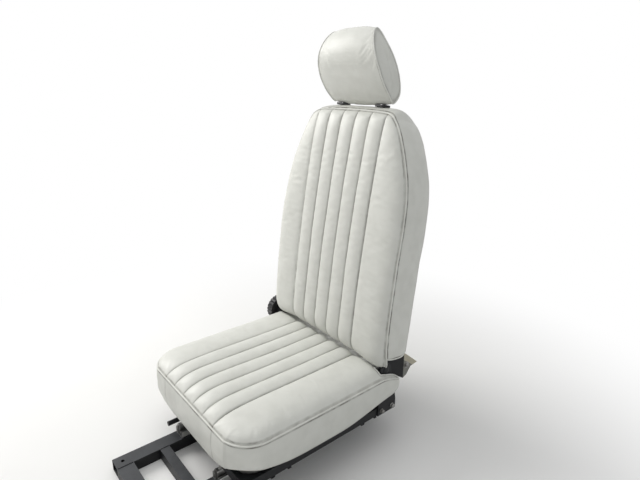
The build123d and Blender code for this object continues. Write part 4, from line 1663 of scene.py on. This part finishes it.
@dataclass
class Studio:
    """The floor, the lamps, the surroundings and the camera of the photograph's view."""

    camera_place: tuple[float, float, float] = (0.97197, -0.58413, 0.94123)
    azimuth: float = math.radians(50.2)
    elevation: float = math.radians(18.06)
    roll: float = math.radians(0.53)
    focal_pixels: float = 488.72
    picture_width: float = 640.0
    sensor: float = 36.0
    clear_near: float = 0.55
    clear_far: float = 1.5

    def axes(self) -> tuple[Array, Array, Array]:
        """The camera's right, up and backward directions, from its azimuth, elevation and roll."""
        level = math.cos(self.elevation)
        heading = (math.sin(self.azimuth) * level, -math.cos(self.azimuth) * level)
        back = np.array([*heading, math.sin(self.elevation)])
        right = unit(np.cross(-back, UP))
        up = np.cross(right, -back)
        turn, lift = math.cos(self.roll), math.sin(self.roll)
        return right * turn + up * lift, up * turn - right * lift, back

    @staticmethod
    def put(thing: bpy.types.Object, axes: tuple[Array, Array, Array], place: tuple) -> None:
        """Sets an object's right, up and backward directions and its place, and links it to the scene."""
        matrix = np.eye(4)
        matrix[:3, :3] = np.stack(axes, axis=1)
        matrix[:3, 3] = place
        thing.matrix_world = Matrix(matrix.tolist())
        bpy.context.scene.collection.objects.link(thing)

    def camera(self) -> None:
        """Places the camera."""
        data = bpy.data.cameras.new("view")
        data.sensor_width = self.sensor
        data.lens = self.focal_pixels * self.sensor / self.picture_width
        camera = bpy.data.objects.new("view", data)
        self.put(camera, self.axes(), self.camera_place)
        bpy.context.scene.camera = camera

    def lamp(self, name: str, place: tuple, target: tuple, size: float, power: float, colour: Colour) -> None:
        """Adds one soft square lamp that shines from its place at its target."""
        data = bpy.data.lights.new(name, "AREA")
        data.size, data.energy, data.color = size, power, colour
        back = unit(np.array(place) - np.array(target))
        right = unit(np.cross(UP, back))
        self.put(bpy.data.objects.new(name, data), (right, np.cross(back, right), back), place)

    def floor(self) -> None:
        """A pale floor that shows white to the camera away from the shadow."""
        size = 14.0
        corners = np.array([[-1, -1, 0], [1, -1, 0], [1, 1, 0], [-1, 1, 0]]) * size
        floor = make_piece("floor", (corners, [np.array([[0, 1, 2, 3]])]))
        material, nodes = new_material("pale_floor")
        speck = nodes.noise(nodes.place(), 3.0, 3.0)
        colour = nodes.mix(speck, (0.80, 0.80, 0.79), (0.84, 0.84, 0.83))
        surface = nodes.add("BsdfPrincipled", {"Base Color": colour, "Roughness": 0.9})
        away = nodes.add("VectorMath", {0: nodes.place()}, operation="LENGTH").outputs["Value"]
        share = nodes.value("MULTIPLY", nodes.ramp(away, self.clear_near, self.clear_far), nodes.seen())
        white = nodes.add("Emission", {"Color": (1.0, 1.0, 1.0, 1.0), "Strength": 1.0})
        blend = nodes.add("MixShader", {0: share, 1: surface.outputs[0], 2: white.outputs[0]})
        nodes.add("OutputMaterial", {"Surface": blend.outputs[0]})
        dress(floor, material)

    def surroundings(self) -> None:
        """Even pale light, white where the camera, gloss or glass sees it."""
        world = bpy.data.worlds.new("studio")
        bpy.context.scene.world = world
        world.use_nodes = True
        nodes = Nodes(world.node_tree)
        strength = nodes.line(nodes.seen(), 0.55, 0.45)
        backdrop = nodes.add("Background", {"Color": (1.0, 1.0, 1.0, 1.0), "Strength": strength})
        nodes.add("OutputWorld", {"Surface": backdrop.outputs[0]})

    def build(self) -> None:
        """Sets up the whole studio."""
        self.camera()
        self.floor()
        self.surroundings()
        self.lamp("window", (-2.5, -1.0, 2.0), (0.0, 0.1, 0.5), 1.5, 72.0, (1.0, 0.985, 0.96))
        self.lamp("overhead", (-0.3, -0.3, 3.2), (0.0, 0.1, 0.4), 2.4, 26.0, (1.0, 1.0, 1.0))
        self.lamp("side_fill", (2.8, 0.2, 1.4), (0.0, 0.1, 0.5), 2.0, 7.0, (0.9, 0.95, 1.0))
        bpy.context.scene.view_settings.view_transform = "Standard"


def main() -> None:
    """Builds the studio and each sub-assembly in order."""
    finishes = Finishes()
    Studio().build()
    Hardware(finishes).build()
    Fasteners(finishes).build()
    Cushion(finishes).build()
    Backrest(finishes).build()
    Headrest(finishes).build()


if __name__ == "__main__":
    main()
